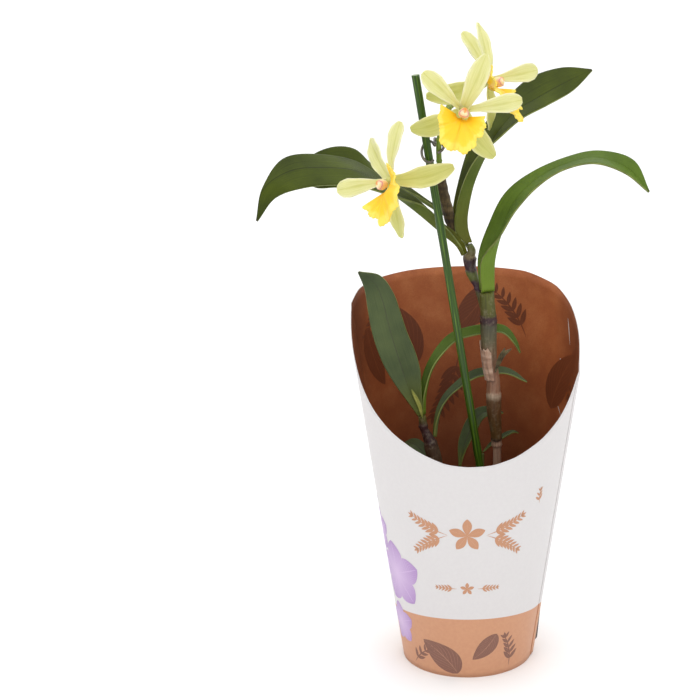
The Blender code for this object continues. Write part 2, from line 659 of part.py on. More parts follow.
def make_leaves():
    """Long leaves that stand above the sleeve, each by its far edge, its keel and its near edge."""
    ribbon(
        "leaf_right",
        [
            (8.8, 7.6, 268.9), (7.6, 8.7, 292.5), (15, 9.7, 315.7), (25.9, 8.9, 337.1),
            (44.5, 6.7, 352.6), (65.8, 2.6, 363.6), (89.3, -0.6, 368.7), (112.3, -5.9, 364),
            (123.2, -10.7, 343.4),
        ],
        [
            (18.4, 5, 268.9), (18.9, 4.7, 291.3), (24.2, 3.3, 312.8), (32.4, 1.1, 333.1),
            (47.3, -0.7, 349.1), (66.3, -3.5, 360.1), (87.1, -6.3, 365.3), (107.7, -9.1, 358.8),
            (122.8, -11, 343),
        ],
        [
            (9.8, 1.2, 268.9), (9.9, -1, 292.3), (22.2, -5, 310), (32.7, -9, 329.3),
            (46.5, -12.7, 346.4), (64.7, -15.1, 358.8), (85.6, -17.2, 364.3), (106.2, -16.4, 356.8),
            (122.7, -11.6, 342.8),
        ],
        LEAF,
    )
    ribbon(
        "leaf_left_front",
        [
            (-0.2, 9.4, 295.2), (-1.9, 8.6, 300.8), (-5.3, 6.6, 306.5), (-9.7, 6, 311.9), (-18, 7.6, 317.7),
            (-35.8, 11.9, 333.8), (-57, 15.4, 345.7),
            (-78.2, 17.9, 358.1), (-102.3, 17.3, 362.7), (-126, 12.4, 360.1), (-139.3, 4.5, 342.3),
            (-144.1, 3.4, 319.6),
        ],
        [
            (-3.5, 6.8, 293.8), (-5.2, 5.4, 297.9), (-8.2, 4.2, 302.5), (-13.4, 4, 307), (-18.6, 4, 311.5),
            (-35.9, 4.3, 326.4), (-54.5, 5.4, 340.2),
            (-74.1, 6, 352.7), (-97.1, 6, 355.5), (-120.1, 5, 353.7), (-138.7, 3.5, 341.4),
            (-143.9, 3, 319.3),
        ],
        [
            (-1.8, 5.8, 295), (-3.6, 3.8, 299.8), (-6.4, 1.8, 304.6), (-9.6, 0.8, 309.4), (-13.4, 0.2, 314),
            (-28.2, -1.3, 329.6), (-48.1, -4.4, 337.6),
            (-68.5, -6, 344.5), (-90, -5.6, 346.1), (-111.4, -3.3, 344), (-130.8, 0.8, 335.4),
            (-143.4, 2.8, 318.9),
        ],
        LEAF,
    )
    ribbon(
        "leaf_left_back",
        [
            (2.4, 15.6, 297.2), (-3.6, 21.2, 306.5), (-14, 22.2, 320), (-27.2, 24.2, 328.8),
            (-40.4, 28.4, 336.8), (-54.1, 33.4, 343.3), (-66.8, 37.5, 351.6), (-78.3, 37.8, 361.7),
            (-94, 36.4, 363.3), (-108.3, 33.8, 357.6), (-116.1, 31.2, 343.4),
        ],
        [
            (1.2, 15.1, 296.6), (-4.6, 19.6, 304.9), (-12.6, 20.7, 316.1), (-24.4, 20.7, 324.2),
            (-36.3, 22.7, 331.5), (-48.4, 24.8, 338.5), (-61.2, 27, 344), (-74.8, 28.6, 347.2),
            (-88.8, 29.8, 348.8), (-102.9, 30.8, 347.7), (-115.9, 31, 342.9),
        ],
        [
            (0, 14.8, 297), (-6.2, 19.4, 306.7), (-14, 19.2, 317.9), (-25.1, 19, 326.6),
            (-36.8, 19.7, 334.1), (-49.4, 20, 339.4), (-63.2, 20.6, 339.8), (-77.1, 21.8, 338.8),
            (-90.8, 23.7, 338), (-104.3, 26.8, 336.6), (-115.9, 30.8, 342.3),
        ],
        LEAF_DARK,
    )
    ribbon(
        "leaf_upper",
        [
            (-0.2, 13.8, 301.6), (-7, 16.2, 307), (-9.4, 17.6, 313), (-9.9, 19, 323.3), (-5.5, 25.8, 343.7),
            (1.2, 35.4, 362.7),
            (13.1, 44.7, 379.1), (27.3, 52, 394.7), (44.4, 56.5, 408.1), (65.2, 55.7, 415.5),
            (86.1, 50.4, 415.3),
        ],
        [
            (3.0, 11, 302.1), (1.2, 11.8, 307), (0, 12.6, 313), (0.2, 14.6, 322.4), (4.3, 20.3, 340.9),
            (11.9, 27.6, 357.8),
            (21.3, 34.7, 373.8), (34.3, 40.4, 387.5), (51, 44.8, 397.4), (68.4, 47.9, 406.5),
            (86.3, 50, 414.9),
        ],
        [
            (-0.6, 9.4, 301.8), (-6.2, 8.2, 307.2), (-8.4, 8.2, 313), (-8.2, 9.6, 323.4),
            (-2.6, 16.1, 342.5), (6.8, 21.8, 359.3), (22, 26.7, 372.1), (37.7, 31.6, 384.3),
            (55.4, 36.6, 393.3), (72.9, 43.1, 401.6), (86.6, 49.6, 414.5),
        ],
        LEAF,
    )
    ribbon(
        "leaf_dark",
        [
            (-34, -6, 181.1), (-44, -4.8, 194.9), (-51.7, -3, 206), (-58.5, -1, 217.6),
            (-63.3, 0.8, 230.2), (-66.7, 2, 243.3), (-68.9, 3, 256.6), (-70.8, 3.8, 270),
            (-75.5, 4.8, 282.2),
        ],
        [
            (-32.6, -4.4, 181), (-39.4, -2.3, 196.2), (-43.9, -0.1, 209), (-48, 2, 222),
            (-52, 3.9, 235.1), (-55.4, 5, 248.4), (-58.6, 5.9, 261.7), (-63.9, 6, 274.4),
            (-75, 5, 282.5),
        ],
        [
            (-30.9, -6.1, 181.2), (-31.9, -4.5, 199.5), (-32.8, -2.1, 213.8), (-36.6, 0.3, 227.7),
            (-42.1, 2, 241.1), (-46.6, 3.2, 254.9), (-51.4, 4.5, 268.6), (-60.3, 5, 279.8),
            (-74.7, 4.9, 283),
        ],
        LEAF_DARK,
    )


def make_low_leaves():
    """Leaves of the shorter growths, inside the sleeve."""
    blade(
        "leaf_thin_arch",
        [
            (-29.3, -1.3, 181.3), (-28.8, 0, 195), (-25.4, 5, 209), (-18.4, 8, 221), (-9.4, 13, 229.5),
            (0.2, 15, 233), (15.3, 18.6, 235), (25.1, 18, 235), (32.1, 17, 228.5), (37.1, 15, 220.8),
        ],
        STRAP_LEAF, 12, [(-1, 0, 0.3), (-0.6, -0.3, 1), (0, -0.3, 1), (0.9, -0.3, 0.6)], (50, 25), LEAF_DARK,
        rows=14,
    )
    blade(
        "leaf_low_arch",
        [
            (-21.8, 0.2, 163.5), (-20.6, 2.7, 173), (-18.2, 5.5, 182), (-13.4, 8.5, 190),
            (-6.4, 11.5, 196.2), (1.5, 14.5, 201.4), (9, 17, 204), (23.1, 19, 205.4), (31.6, 19, 203.6),
            (38, 18, 200.4), (42.2, 17, 198.7),
        ],
        STRAP_LEAF, 10, [(-1, 0, 0.3), (-0.6, -0.6, 1), (0, -0.5, 1), (0.3, -0.3, 1)], (45, 25), LEAF_DARK,
        rows=14,
    )
    blade(
        "leaf_low_inner",
        [
            (-5.1, 10, 138), (-2.3, 13, 152), (3.4, 16, 165.4), (9.1, 18, 173.7), (17.6, 20, 175.7),
            (25.5, 22, 173.9),
        ],
        BROAD_LEAF, 12, [(-0.6, -1, 0.3), (-0.3, -1, 0.7), (0.2, -0.5, 1)], (40, 20), LEAF_DARK,
    )
    blade(
        "leaf_low_right",
        [(11, 20.4, 144.6), (17, 23.2, 149.6), (24.9, 26, 154.3), (32.1, 28, 157.4), (36.8, 30, 156)],
        BROAD_LEAF, 4.5, [(-0.4, -0.8, 1), (0, -0.6, 1)], (35, 20), LEAF_DARK, rows=8,
    )
    blade(
        "leaf_low_left",
        [(-25.2, 18.3, 134.8), (-30.2, 22, 142), (-37.4, 26, 148.4), (-44.4, 30, 149)],
        BROAD_LEAF, 11, [(0.3, -0.9, 0.6), (0, -0.8, 0.8)], (30, 10), LEAF_DARK, rows=8,
    )
    blade(
        "young_bract",
        [(-31.2, -7.3, 179.6), (-33.6, -8.2, 190.6), (-38.6, -9.2, 201.7)],
        BROAD_LEAF, 4.5, [(0.3, -1, 0.1), (0, -1, 0.1)], (30, 30), LEAF_PALE, 0.7, 6,
    )


def make_dry_bract():
    """A dry forked bract left on the front of the main cane."""
    face = [(0.4, -1, 0.2), (0, -1, 0.2)]
    long_arm = [(19.5, -0.8, 211.5), (21.2, -1.7, 217), (24.6, -2.6, 224.6), (30.7, -3, 229.6)]
    short_arm = [(19.6, -0.9, 212), (21.4, -1.8, 218), (23.4, -2.5, 224), (26.2, -3, 229.9)]
    low = blade("low", long_arm, BROAD_LEAF, 3.4, face, (20, 20), DRY_SHEATH, 0.6, 8)
    high = blade("high", short_arm, BROAD_LEAF, 3.2, face, (20, 20), DRY_SHEATH, 0.6, 8)
    return fuse("dry_bract", [applied(low), applied(high)])


def make_stems():
    tube("rhizome", RHIZOME_ROUTE, WOOD_ROOT, TUBE_POINTS)
    tube("cane_main", CANE_MAIN_ROUTE, CANE, 24)
    tube("cane_back", CANE_BACK_ROUTE, CANE_GREEN, 12)
    tube("cane_left", CANE_LEFT_ROUTE, CANE, 12)
    tube("stake", STAKE_ROUTE, STAKE_GREEN, TUBE_POINTS, 12)
    for name, route in SHOOTS.items():
        tube(name, route, CANE_GREEN, TUBE_POINTS)


def main():
    make_sleeve()
    make_pot()
    make_stems()
    make_medium([STAKE_ROUTE, RHIZOME_ROUTE, CANE_MAIN_ROUTE[:3], CANE_LEFT_ROUTE[:3], *SHOOTS.values()])
    make_dry_sheath()
    make_dry_bract()
    make_leaves()
    make_low_leaves()
    make_flower_sheath()
    make_flower_stem()
    make_clip()
    for name, bloom in BLOOMS.items():
        make_tepals(name, bloom)
        make_lip(name, bloom)
        make_column(name, bloom)


main()
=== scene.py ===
import math

import bmesh
import bpy
import numpy as np
from mathutils import Matrix, Vector


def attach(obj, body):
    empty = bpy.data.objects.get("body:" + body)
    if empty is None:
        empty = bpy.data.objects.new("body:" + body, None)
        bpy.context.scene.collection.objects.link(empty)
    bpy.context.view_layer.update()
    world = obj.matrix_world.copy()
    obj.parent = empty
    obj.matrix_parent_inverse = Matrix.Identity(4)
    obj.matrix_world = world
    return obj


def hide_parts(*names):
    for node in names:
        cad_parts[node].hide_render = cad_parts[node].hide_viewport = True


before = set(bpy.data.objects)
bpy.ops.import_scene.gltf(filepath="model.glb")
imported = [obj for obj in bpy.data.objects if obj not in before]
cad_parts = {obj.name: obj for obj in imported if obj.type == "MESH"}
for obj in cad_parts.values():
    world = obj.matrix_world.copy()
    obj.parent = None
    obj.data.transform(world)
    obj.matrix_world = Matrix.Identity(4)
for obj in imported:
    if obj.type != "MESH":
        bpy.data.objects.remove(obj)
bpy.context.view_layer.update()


# Studio: a pale floor under a soft box, a weaker fill and a back light, as a plant is photographed for
# a catalogue. The camera looks down on the plant by seventeen degrees from a little over one and a half
# metres. Lists of points are in millimetres: the origin is the centre of the pot's underside.
MM = 0.001
CAMERA_DISTANCE, CAMERA_ELEVATION = 1.6, 17.388
CAMERA_AIM = (0.0, 0.0, 0.22768)
LENS_MM, SENSOR_MM, SIDE_SHIFT = 118.40, 36.0, -0.1674
FLOOR_SIDE = 40  # metres, so that its far edge stays out of every view


def linear(shade):
    """An sRGB hex colour as linear red, green, blue and alpha."""
    parts = [int(shade[at : at + 2], 16) / 255 for at in (1, 3, 5)]
    return (*[c / 12.92 if c <= 0.04045 else ((c + 0.055) / 1.055) ** 2.4 for c in parts], 1.0)


def feed(tree, node, inputs):
    """Gives a node's inputs a number, a hex colour, or the node or socket that drives them."""
    for key, value in inputs.items():
        socket = node.inputs[key] if isinstance(key, int) else None
        socket = socket or next(found for found in node.inputs if found.enabled and found.name == key)
        if isinstance(value, bpy.types.Node):
            value = next(out for out in value.outputs if out.enabled)
        if isinstance(value, bpy.types.NodeSocket):
            tree.links.new(value, socket)
        else:
            socket.default_value = linear(value) if isinstance(value, str) else value
    return node


def add(tree, kind, inputs=None, stops=(), **settings):
    """Adds a node with its settings and links. Stops are a colour ramp's (place, hex colour) pairs."""
    node = tree.nodes.new("ShaderNode" + kind)
    for key, value in settings.items():
        setattr(node, key, value)
    if stops:
        elements = node.color_ramp.elements
        for element, (place, shade) in zip((elements[0], elements[1]), (stops[0], stops[-1])):
            element.position, element.color = place, linear(shade)
        for place, shade in stops[1:-1]:
            elements.new(place).color = linear(shade)
    return feed(tree, node, inputs or {})


def surface(name, **sockets):
    """A material with its tree and its shader, whose uniform values are set on the shader's own sockets."""
    made = bpy.data.materials.new(name)
    made.use_nodes = True
    shader = made.node_tree.nodes["Principled BSDF"]
    feed(made.node_tree, shader, {key.replace("_", " "): value for key, value in sockets.items()})
    return made, made.node_tree, shader


world = bpy.data.worlds.new("studio")
bpy.context.scene.world = world
world.use_nodes = True
# The tent is bright overhead, which lights the floor white, and dimmer towards the horizon
tent = world.node_tree
ray = add(tent, "TexCoord").outputs["Generated"]
upward = add(tent, "SeparateXYZ", {"Vector": ray}).outputs["Z"]
glow = add(tent, "MapRange", {"Value": upward, "From Max": 0.8, "To Min": 0.3, "To Max": 1.6})
feed(tent, tent.nodes["Background"], {"Color": "#FCFCFD", "Strength": glow})
bpy.context.scene.view_settings.view_transform = "Standard"

# name, place, aim, side of the square in metres, watts
for name, place, aim, side, power in (
    ("key_box", (-0.9, -1.7, 1.7), (0.0, 0.0, 0.25), 1.3, 4.0),
    ("fill_box", (1.5, -1.3, 1.0), (0.0, 0.0, 0.25), 1.2, 1.5),
    ("back_box", (0.3, 1.3, 1.6), (0.0, 0.0, 0.30), 1.0, 2.0),
):
    light = bpy.data.lights.new(name, "AREA")
    light.size = side
    light.energy = power
    holder = bpy.data.objects.new(name, light)
    bpy.context.scene.collection.objects.link(holder)
    holder.location = place
    holder.rotation_euler = (Vector(aim) - Vector(place)).to_track_quat("-Z", "Y").to_euler()

lens = bpy.data.cameras.new("camera")
lens.lens, lens.sensor_width, lens.shift_x = LENS_MM, SENSOR_MM, SIDE_SHIFT
camera = bpy.data.objects.new("camera", lens)
bpy.context.scene.collection.objects.link(camera)
tilt = math.radians(CAMERA_ELEVATION)
camera.location = Vector(CAMERA_AIM) + CAMERA_DISTANCE * Vector((0, -math.cos(tilt), math.sin(tilt)))
camera.rotation_euler = (math.pi / 2 - tilt, 0, 0)
bpy.context.scene.camera = camera


def every(size):
    """The scale of a pattern whose features lie this many millimetres apart on the real thing."""
    return 1 / (size * MM)


bpy.ops.mesh.primitive_plane_add(size=FLOOR_SIDE)
floor = bpy.context.object
floor.name = "studio_floor"
# Matt painted board: no gloss, the faint unevenness of a rolled coat
floor_paint, tree, shader = surface("matt_white_paint", Roughness=0.9, IOR=1.45)
place = add(tree, "TexCoord").outputs["Object"]
grain = add(tree, "TexNoise", {"Vector": place, "Scale": every(40), "Detail": 3.0})
tint = add(tree, "Mix", {"Factor": grain, "A": "#F3F3F2", "B": "#F7F7F6"}, data_type="RGBA")
feed(tree, shader, {"Base Color": tint})
floor.data.materials.append(floor_paint)


# Card sleeve: a cone of coated card, white outside with a copper-coloured band at its foot and kraft brown
# inside, cut on a slant and glued along a lap on the right. Its two folds come from lying flat in its pack.
SLEEVE_BASE_R = 46.0
SLEEVE_FLARE = 0.1464
CARD = 0.6
BAND_TOP, BAND_BOW = 39.5, 0.15  # its top edge bows up at the sides, as flat print does on a cone
FOLDS = (-105.0, 84.0)  # degrees from the front, +X side positive
FOLD_RISE, FOLD_SPREAD = 1.1, 3.0  # how far a fold stands out, and the degrees over which that fades
LAP_MIDDLE, LAP_HALF = 85.5, 7.5  # degrees from the front
# Height of the cut edge at each angle from the front
CUT_EDGE = [
    (-180, 265), (-150, 265), (-128, 264), (-114, 262), (-104, 255), (-90, 236), (-74, 212),
    (-60, 197), (-45, 185), (-28, 175), (-12, 168), (0, 166.5), (14, 167), (28, 171),
    (45, 180), (60, 191), (75, 206), (90, 221), (104, 237), (117, 250), (130, 259), (150, 264.5), (180, 265),
]


def read_smooth(pairs, place):
    """The value at a place, eased between (place, value) pairs so that the outline has no corners."""
    places, values = zip(*pairs)
    reach = 0.35 * min(np.diff(places))
    around = np.interp([place - reach, place, place + reach], places, values)
    return float(around @ [0.25, 0.5, 0.25])


def grid(name, rows, columns, place, *skins, closed=False, capped=False):
    """A smooth sheet: its point (share 0..1, across -1..1) goes to place(share, across), in mm.

    Its UV map holds share and across. Closed joins its two sides, and capped fills both ends of a tube.
    """
    last = columns if closed else columns + 1
    points = [
        Vector(place(row / rows, 2 * column / columns - 1)) * MM
        for row in range(rows + 1)
        for column in range(last)
    ]
    faces, spots = [], []
    for row in range(rows):
        for column in range(columns):
            ring = [(row, column), (row + 1, column), (row + 1, column + 1), (row, column + 1)]
            faces.append([a * last + b % last for a, b in ring])
            spots += [(a / rows, b / columns) for a, b in ring]
    sheet_faces = len(faces)
    if capped:
        for end in (list(range(last)), [rows * last + b for b in reversed(range(last))]):
            faces.append(end)
            spots += [(0.5, 0.5)] * last
    mesh = bpy.data.meshes.new(name)
    mesh.from_pydata(points, [], faces)
    mesh.uv_layers.new(name="UVMap").data.foreach_set("uv", np.array(spots, np.float32).ravel())
    for skin in skins:
        mesh.materials.append(skin)
    for face in mesh.polygons:
        face.use_smooth = face.index < sheet_faces
        face.material_index = 0 if face.use_smooth else len(skins) - 1
    made = bpy.data.objects.new(name, mesh)
    bpy.context.scene.collection.objects.link(made)
    return made


def thicken(obj, thickness, offset=0.0, under=0, rim=0):
    """Gives a sheet its thickness. Under and rim are the steps to those sides' materials."""
    solidify = obj.modifiers.new("thickness", "SOLIDIFY")
    solidify.thickness = thickness * MM
    solidify.offset = offset
    solidify.material_offset = under
    solidify.material_offset_rim = rim
    return obj


def joined(name, pieces):
    """The pieces as one object, with their modifiers applied and their shared materials kept."""
    bpy.context.view_layer.update()
    graph = bpy.context.evaluated_depsgraph_get()
    bm = bmesh.new()
    skins = list(pieces[0].data.materials)
    for piece in pieces:
        mesh = bpy.data.meshes.new_from_object(piece.evaluated_get(graph))
        mesh.transform(piece.matrix_world)
        bm.from_mesh(mesh)
        bpy.data.meshes.remove(mesh)
        bpy.data.objects.remove(piece, do_unlink=True)
    mesh = bpy.data.meshes.new(name)
    bm.to_mesh(mesh)
    bm.free()
    for skin in skins:
        mesh.materials.append(skin)
    made = bpy.data.objects.new(name, mesh)
    bpy.context.scene.collection.objects.link(made)
    return made


def dress(piece, slot, *nodes):
    """The piece rides on the plant and stands for these CAD nodes, which it hides. Its slot is not used."""
    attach(piece, "root")
    if nodes:
        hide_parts(*nodes)
    return piece


def cone_point(angle, height, extra=0.0):
    """A point on the outside of the sleeve, at an angle from the front, sharper along its folds."""
    fold = sum(math.exp(-abs(angle - at) / FOLD_SPREAD) for at in FOLDS)
    radius = SLEEVE_BASE_R + SLEEVE_FLARE * height + extra + FOLD_RISE * fold
    turn = math.radians(angle)
    return (radius * math.sin(turn), -radius * math.cos(turn), height)


# Clay-coated card: bright and smooth, with a faint mottle from the coating and a copper-ink band
card_white, tree, shader = surface("clay_coated_card_offset_printed", Roughness=0.48, IOR=1.5)
place = add(tree, "TexCoord").outputs["Object"]
mottle = add(tree, "TexNoise", {"Vector": place, "Scale": every(2.4), "Detail": 4.0})
fibre = add(tree, "TexNoise", {"Vector": place, "Scale": every(0.67), "Detail": 2.0})
white = add(tree, "Mix", {"Factor": mottle, "A": "#D5D1D1", "B": "#DBD8D7"}, data_type="RGBA")
coppers = [(0.25, "#C68E6C"), (0.5, "#C9926F"), (0.75, "#CC9672")]
copper = add(tree, "ValToRGB", {"Fac": mottle}, stops=coppers)
spot = add(tree, "SeparateXYZ", {"Vector": place})
deep, high = spot.outputs["Y"], spot.outputs["Z"]
bowed = add(tree, "Math", {0: deep, 1: BAND_BOW, 2: high}, operation="MULTIPLY_ADD")
in_band = add(tree, "Math", {0: bowed, 1: BAND_TOP * MM}, operation="LESS_THAN")
printed = add(tree, "Mix", {"Factor": in_band, "A": white, "B": copper}, data_type="RGBA")
press = add(tree, "Bump", {"Height": fibre, "Strength": 0.12, "Distance": 0.0002})
feed(tree, shader, {"Base Color": printed, "Normal": press})

# Kraft-brown ink on the inside: warm and dull, with the board's fibres showing through. It is darker low
# down and at the sides with painted shade, as the inside of the cone gets little light there
card_kraft, tree, shader = surface("kraft_brown_printed_card", Roughness=0.62, IOR=1.45)
place = add(tree, "TexCoord").outputs["Object"]
cloud = add(tree, "TexNoise", {"Vector": place, "Scale": every(18), "Detail": 5.0, "Roughness": 0.6})
fibre = add(tree, "TexNoise", {"Vector": place, "Scale": every(0.9), "Detail": 3.0})
browns = [(0.3, "#AA5C30"), (0.5, "#B76838"), (0.7, "#C47646")]
brown = add(tree, "ValToRGB", {"Fac": cloud}, stops=browns)
fleck = add(tree, "Mix", {"Factor": fibre, "A": "#DCD0C4", "B": "#FFFFFF"}, data_type="RGBA")
flecked = {"Factor": 1.0, "A": brown, "B": fleck}
toned = add(tree, "Mix", flecked, data_type="RGBA", blend_type="MULTIPLY")
spot = add(tree, "SeparateXYZ", {"Vector": place})
# Painted shade: the brown darkens low down and towards the left and right sides of the inside
low = {"Value": spot.outputs["Z"], "From Min": 120 * MM, "From Max": 225 * MM, "To Min": 0.6, "To Max": 0.0}
side = add(tree, "Math", {0: spot.outputs["X"]}, operation="ABSOLUTE")
side = {"Value": side, "From Min": 62 * MM, "From Max": 78 * MM, "To Max": 0.7}
painted_shade_mask = {0: add(tree, "MapRange", low), 1: add(tree, "MapRange", side)}
painted_shade_mask = add(tree, "Math", painted_shade_mask, operation="MAXIMUM")
kraft_with_painted_shade = add(tree, "Mix", {"Factor": painted_shade_mask, "A": toned, "B": "#4E2410"}, data_type="RGBA")
press = add(tree, "Bump", {"Height": fibre, "Strength": 0.2, "Distance": 0.0003})
feed(tree, shader, {"Base Color": kraft_with_painted_shade, "Normal": press})


def wall(share, across):
    angle = -180 * across
    return cone_point(angle, read_smooth(CUT_EDGE, angle) * share)


def lap(share, across):
    """The end of the blank, lying on the outside with its top corner cut back."""
    angle = LAP_MIDDLE - LAP_HALF * across
    top = read_smooth(CUT_EDGE, angle) - 1.5 - 2.5 * max(0.0, (angle - 90.0) / 3.0)
    return cone_point(angle, 1.0 + (top - 1.0) * share, CARD - 0.1)


cone = thicken(grid("cone", 40, 288, wall, card_white, card_kraft, closed=True), CARD, -1, under=1)
flap = thicken(grid("lap", 60, 10, lap, card_white, card_kraft), CARD, -1)
dress(joined("sleeve_card", [cone, flap]), "card", "sleeve")


# Print on the sleeve: plain leaves and sprigs in brown, copper and lilac offset ink. Each lies a twelfth
# of a millimetre off the card and follows its cone, as a film of ink does.
INK_FILM = 0.08


def from_midrib(tree, uv):
    """How far a point lies from the middle of a leaf or petal, 0 to 0.5 of its width."""
    off = add(tree, "Math", {0: uv.outputs["Y"], 1: 0.5}, operation="SUBTRACT")
    return add(tree, "Math", {0: off}, operation="ABSOLUTE")


def ink(name, shade, pale, veins, fade=0.0):
    """Flat printing ink with pale side veins drawn along each leaf's own length, fading to its foot."""
    made, tree, shader = surface(name, Roughness=0.5, IOR=1.45)
    uv = add(tree, "SeparateXYZ", {"Vector": add(tree, "TexCoord").outputs["UV"]})
    off = from_midrib(tree, uv)
    swept = add(tree, "Math", {0: off, 1: -1.1, 2: uv.outputs["X"]}, operation="MULTIPLY_ADD")
    wave = add(tree, "Math", {0: swept, 1: veins * 2 * math.pi}, operation="MULTIPLY")
    wave = add(tree, "Math", {0: wave}, operation="SINE")
    side_vein = add(tree, "Math", {0: wave, 1: 0.955}, operation="GREATER_THAN")
    midrib = add(tree, "Math", {0: off, 1: 0.018}, operation="LESS_THAN")
    line = add(tree, "Math", {0: side_vein, 1: midrib}, operation="MAXIMUM")
    line = add(tree, "Math", {0: line, 1: 0.55}, operation="MULTIPLY")
    place = add(tree, "TexCoord").outputs["Object"]
    dots = add(tree, "TexNoise", {"Vector": place, "Scale": every(1.4)})
    tone = add(tree, "Mix", {"Factor": dots, "A": shade, "B": pale}, data_type="RGBA")
    tone = add(tree, "Mix", {"Factor": 0.82, "A": tone, "B": shade}, data_type="RGBA")
    foot = add(tree, "MapRange", {"Value": uv.outputs["X"], "To Min": fade, "To Max": 0.0})
    tone = add(tree, "Mix", {"Factor": foot, "A": tone, "B": pale}, data_type="RGBA")
    drawn = add(tree, "Mix", {"Factor": line, "A": tone, "B": pale}, data_type="RGBA")
    feed(tree, shader, {"Base Color": drawn})
    return made


def printed_leaf(angle, height, heading, length, width, skin, inside=False, bend=0.0, blunt=0.8):
    """A leaf on the card, from its stalk at (angle, height) towards its heading in degrees."""
    extra = -CARD - INK_FILM if inside else INK_FILM
    sense = -1 if inside else 1

    def spot(share, across):
        turn = math.radians(heading + bend * share)
        half = 0.5 * width * math.sin(math.pi * share**blunt) ** 0.8
        run, side = length * share, sense * half * across
        up = height + run * math.sin(turn) + side * math.cos(turn)
        over = run * math.cos(turn) - side * math.sin(turn)
        place = angle + math.degrees(over / (SLEEVE_BASE_R + SLEEVE_FLARE * height))
        return cone_point(place, min(max(up, 0.3), read_smooth(CUT_EDGE, place) - 0.4), extra)

    return grid("leaf", 20, 8, spot, skin)


def printed_sprig(angle, height, heading, length, leaflet, pairs, skin, inside=False, bend=0.0):
    """A stalk with leaflets in pairs that shorten towards its tip."""
    found = [printed_leaf(angle, height, heading, length, 0.05 * leaflet + 0.5, skin, inside, bend, 1.0)]
    radius = SLEEVE_BASE_R + SLEEVE_FLARE * height
    for number in range(pairs):
        share = 0.24 + 0.76 * number / pairs
        turn = math.radians(heading + bend * share)
        at = angle + math.degrees(length * share * math.cos(turn) / radius)
        up = height + length * share * math.sin(turn)
        size = leaflet * (1 - 0.55 * share)
        for side in (-42, 42):
            way = heading + bend * share + side
            found.append(printed_leaf(at, up, way, size, 0.34 * size, skin, inside))
    found.append(printed_leaf(at, up, heading + bend, 0.5 * leaflet, 0.2 * leaflet, skin, inside))
    return found


def printed_blossom(angle, height, first, size, plump, skin, blunt):
    """Five petals about one point, the first at this heading."""
    return [
        printed_leaf(angle, height, first + 72 * petal, size, plump * size, skin, blunt=blunt)
        for petal in range(5)
    ]


# Offset inks: satin, even, with the finest dots of the screen drawn coarser so that they show
brown_ink = ink("dark_brown_ink", "#7B5347", "#B98A70", 7)
kraft_ink = ink("red_brown_ink", "#6A341A", "#90522E", 8)
copper_ink = ink("copper_ink", "#C08A68", "#D2A68A", 6)
lilac_ink = ink("lilac_ink", "#A581BA", "#D6BEDF", 9, 0.9)

band_print = [
    printed_leaf(-8, 3, 118, 34, 19, brown_ink, bend=18),
    printed_leaf(24, 34, -118, 26, 13, brown_ink, bend=-14),
    *printed_sprig(38, 4, 82, 30, 10, 5, brown_ink, bend=22),
    *printed_sprig(-52, 4, 60, 28, 9, 4, brown_ink, bend=-20),
    *printed_sprig(-104, 5, 96, 30, 11, 5, brown_ink),
    *printed_sprig(128, 5, 74, 30, 11, 5, brown_ink, bend=18),
    printed_leaf(172, 4, 112, 33, 18, brown_ink, bend=10),
    printed_leaf(-150, 33, -76, 28, 14, brown_ink, bend=-12),
]
dress(joined("band_print", band_print), "card")

front_print = []
for heading, bend in ((14, 10), (-22, -10), (166, -10), (202, 10)):
    side = math.copysign(12, 90 - heading)
    front_print += printed_sprig(side, 114, heading, 31, 9, 7, copper_ink, bend=bend)
for height, size in ((114, 13), (72, 5)):
    front_print += printed_blossom(0, height, 18, size, 0.5, copper_ink, 1.2)
for heading, start in ((0, 7), (180, -7)):
    front_print += printed_sprig(start, 72, heading, 16, 5, 5, copper_ink)
front_print += printed_sprig(50, 130, 108, 13, 6, 3, copper_ink, bend=-20)
dress(joined("front_print", front_print), "card")

lilac_print = printed_sprig(-83, 44, 84, 84, 13, 7, lilac_ink, bend=8)
for at, height, size in ((-60, 72, 25), (-82, 100, 17), (-66, 32, 16)):
    lilac_print += printed_blossom(at, height, 24, size, 0.8, lilac_ink, 1.25)
dress(joined("lilac_print", lilac_print), "card")

inside_print = [
    printed_leaf(-150, 196, 74, 62, 30, kraft_ink, True, bend=-16),
    printed_leaf(168, 252, -62, 44, 22, kraft_ink, True, bend=12),
    printed_leaf(122, 172, 98, 52, 27, kraft_ink, True, bend=20),
    printed_leaf(-116, 232, -96, 46, 22, kraft_ink, True, bend=-12),
    *printed_sprig(-176, 206, -82, 58, 17, 7, kraft_ink, True, bend=18),
    *printed_sprig(146, 216, 64, 46, 14, 6, kraft_ink, True, bend=-16),
    *printed_sprig(104, 236, -104, 52, 15, 6, kraft_ink, True, bend=12),
    *printed_sprig(-132, 252, -58, 40, 13, 5, kraft_ink, True, bend=16),
    *printed_sprig(-96, 206, -86, 44, 13, 5, kraft_ink, True),
]
dress(joined("inside_print", inside_print), "card")

# Narrow slits and a nick in the seam, where the white board shows through the brown ink
nicks = [
    printed_leaf(117.5, 240, -117, 20, 0.9, card_white, True),
    printed_leaf(115, 177, -142, 9.5, 0.7, card_white, True),
    printed_leaf(119, 210, -80, 3, 1.1, card_white, True),
]
dress(joined("seam_nicks", nicks), "card")


def loose_corner(share, across):
    """The foot of the lap, whose glue has let go: it stands off the cone, most of all at its lower end."""
    angle = 88 + 4 * (across + 1)
    return cone_point(angle, 8 + 28 * share, 0.5 + 1.6 * (across + 1) * (1 - 0.5 * share))


# Nearly black: painted shadow over the kraft underside of the loose corner, which lies in shade
painted_shadow_ink = ink("kraft_ink_with_painted_shadow", "#2A1C16", "#3A2A20", 4)
dress(thicken(grid("loose_corner", 24, 8, loose_corner, painted_shadow_ink), 0.4), "card")


# Nursery pot: thin thermoformed plastic with a stepped rim, standing inside the sleeve. The frame's own
# shape is kept, and only its finish is given here.


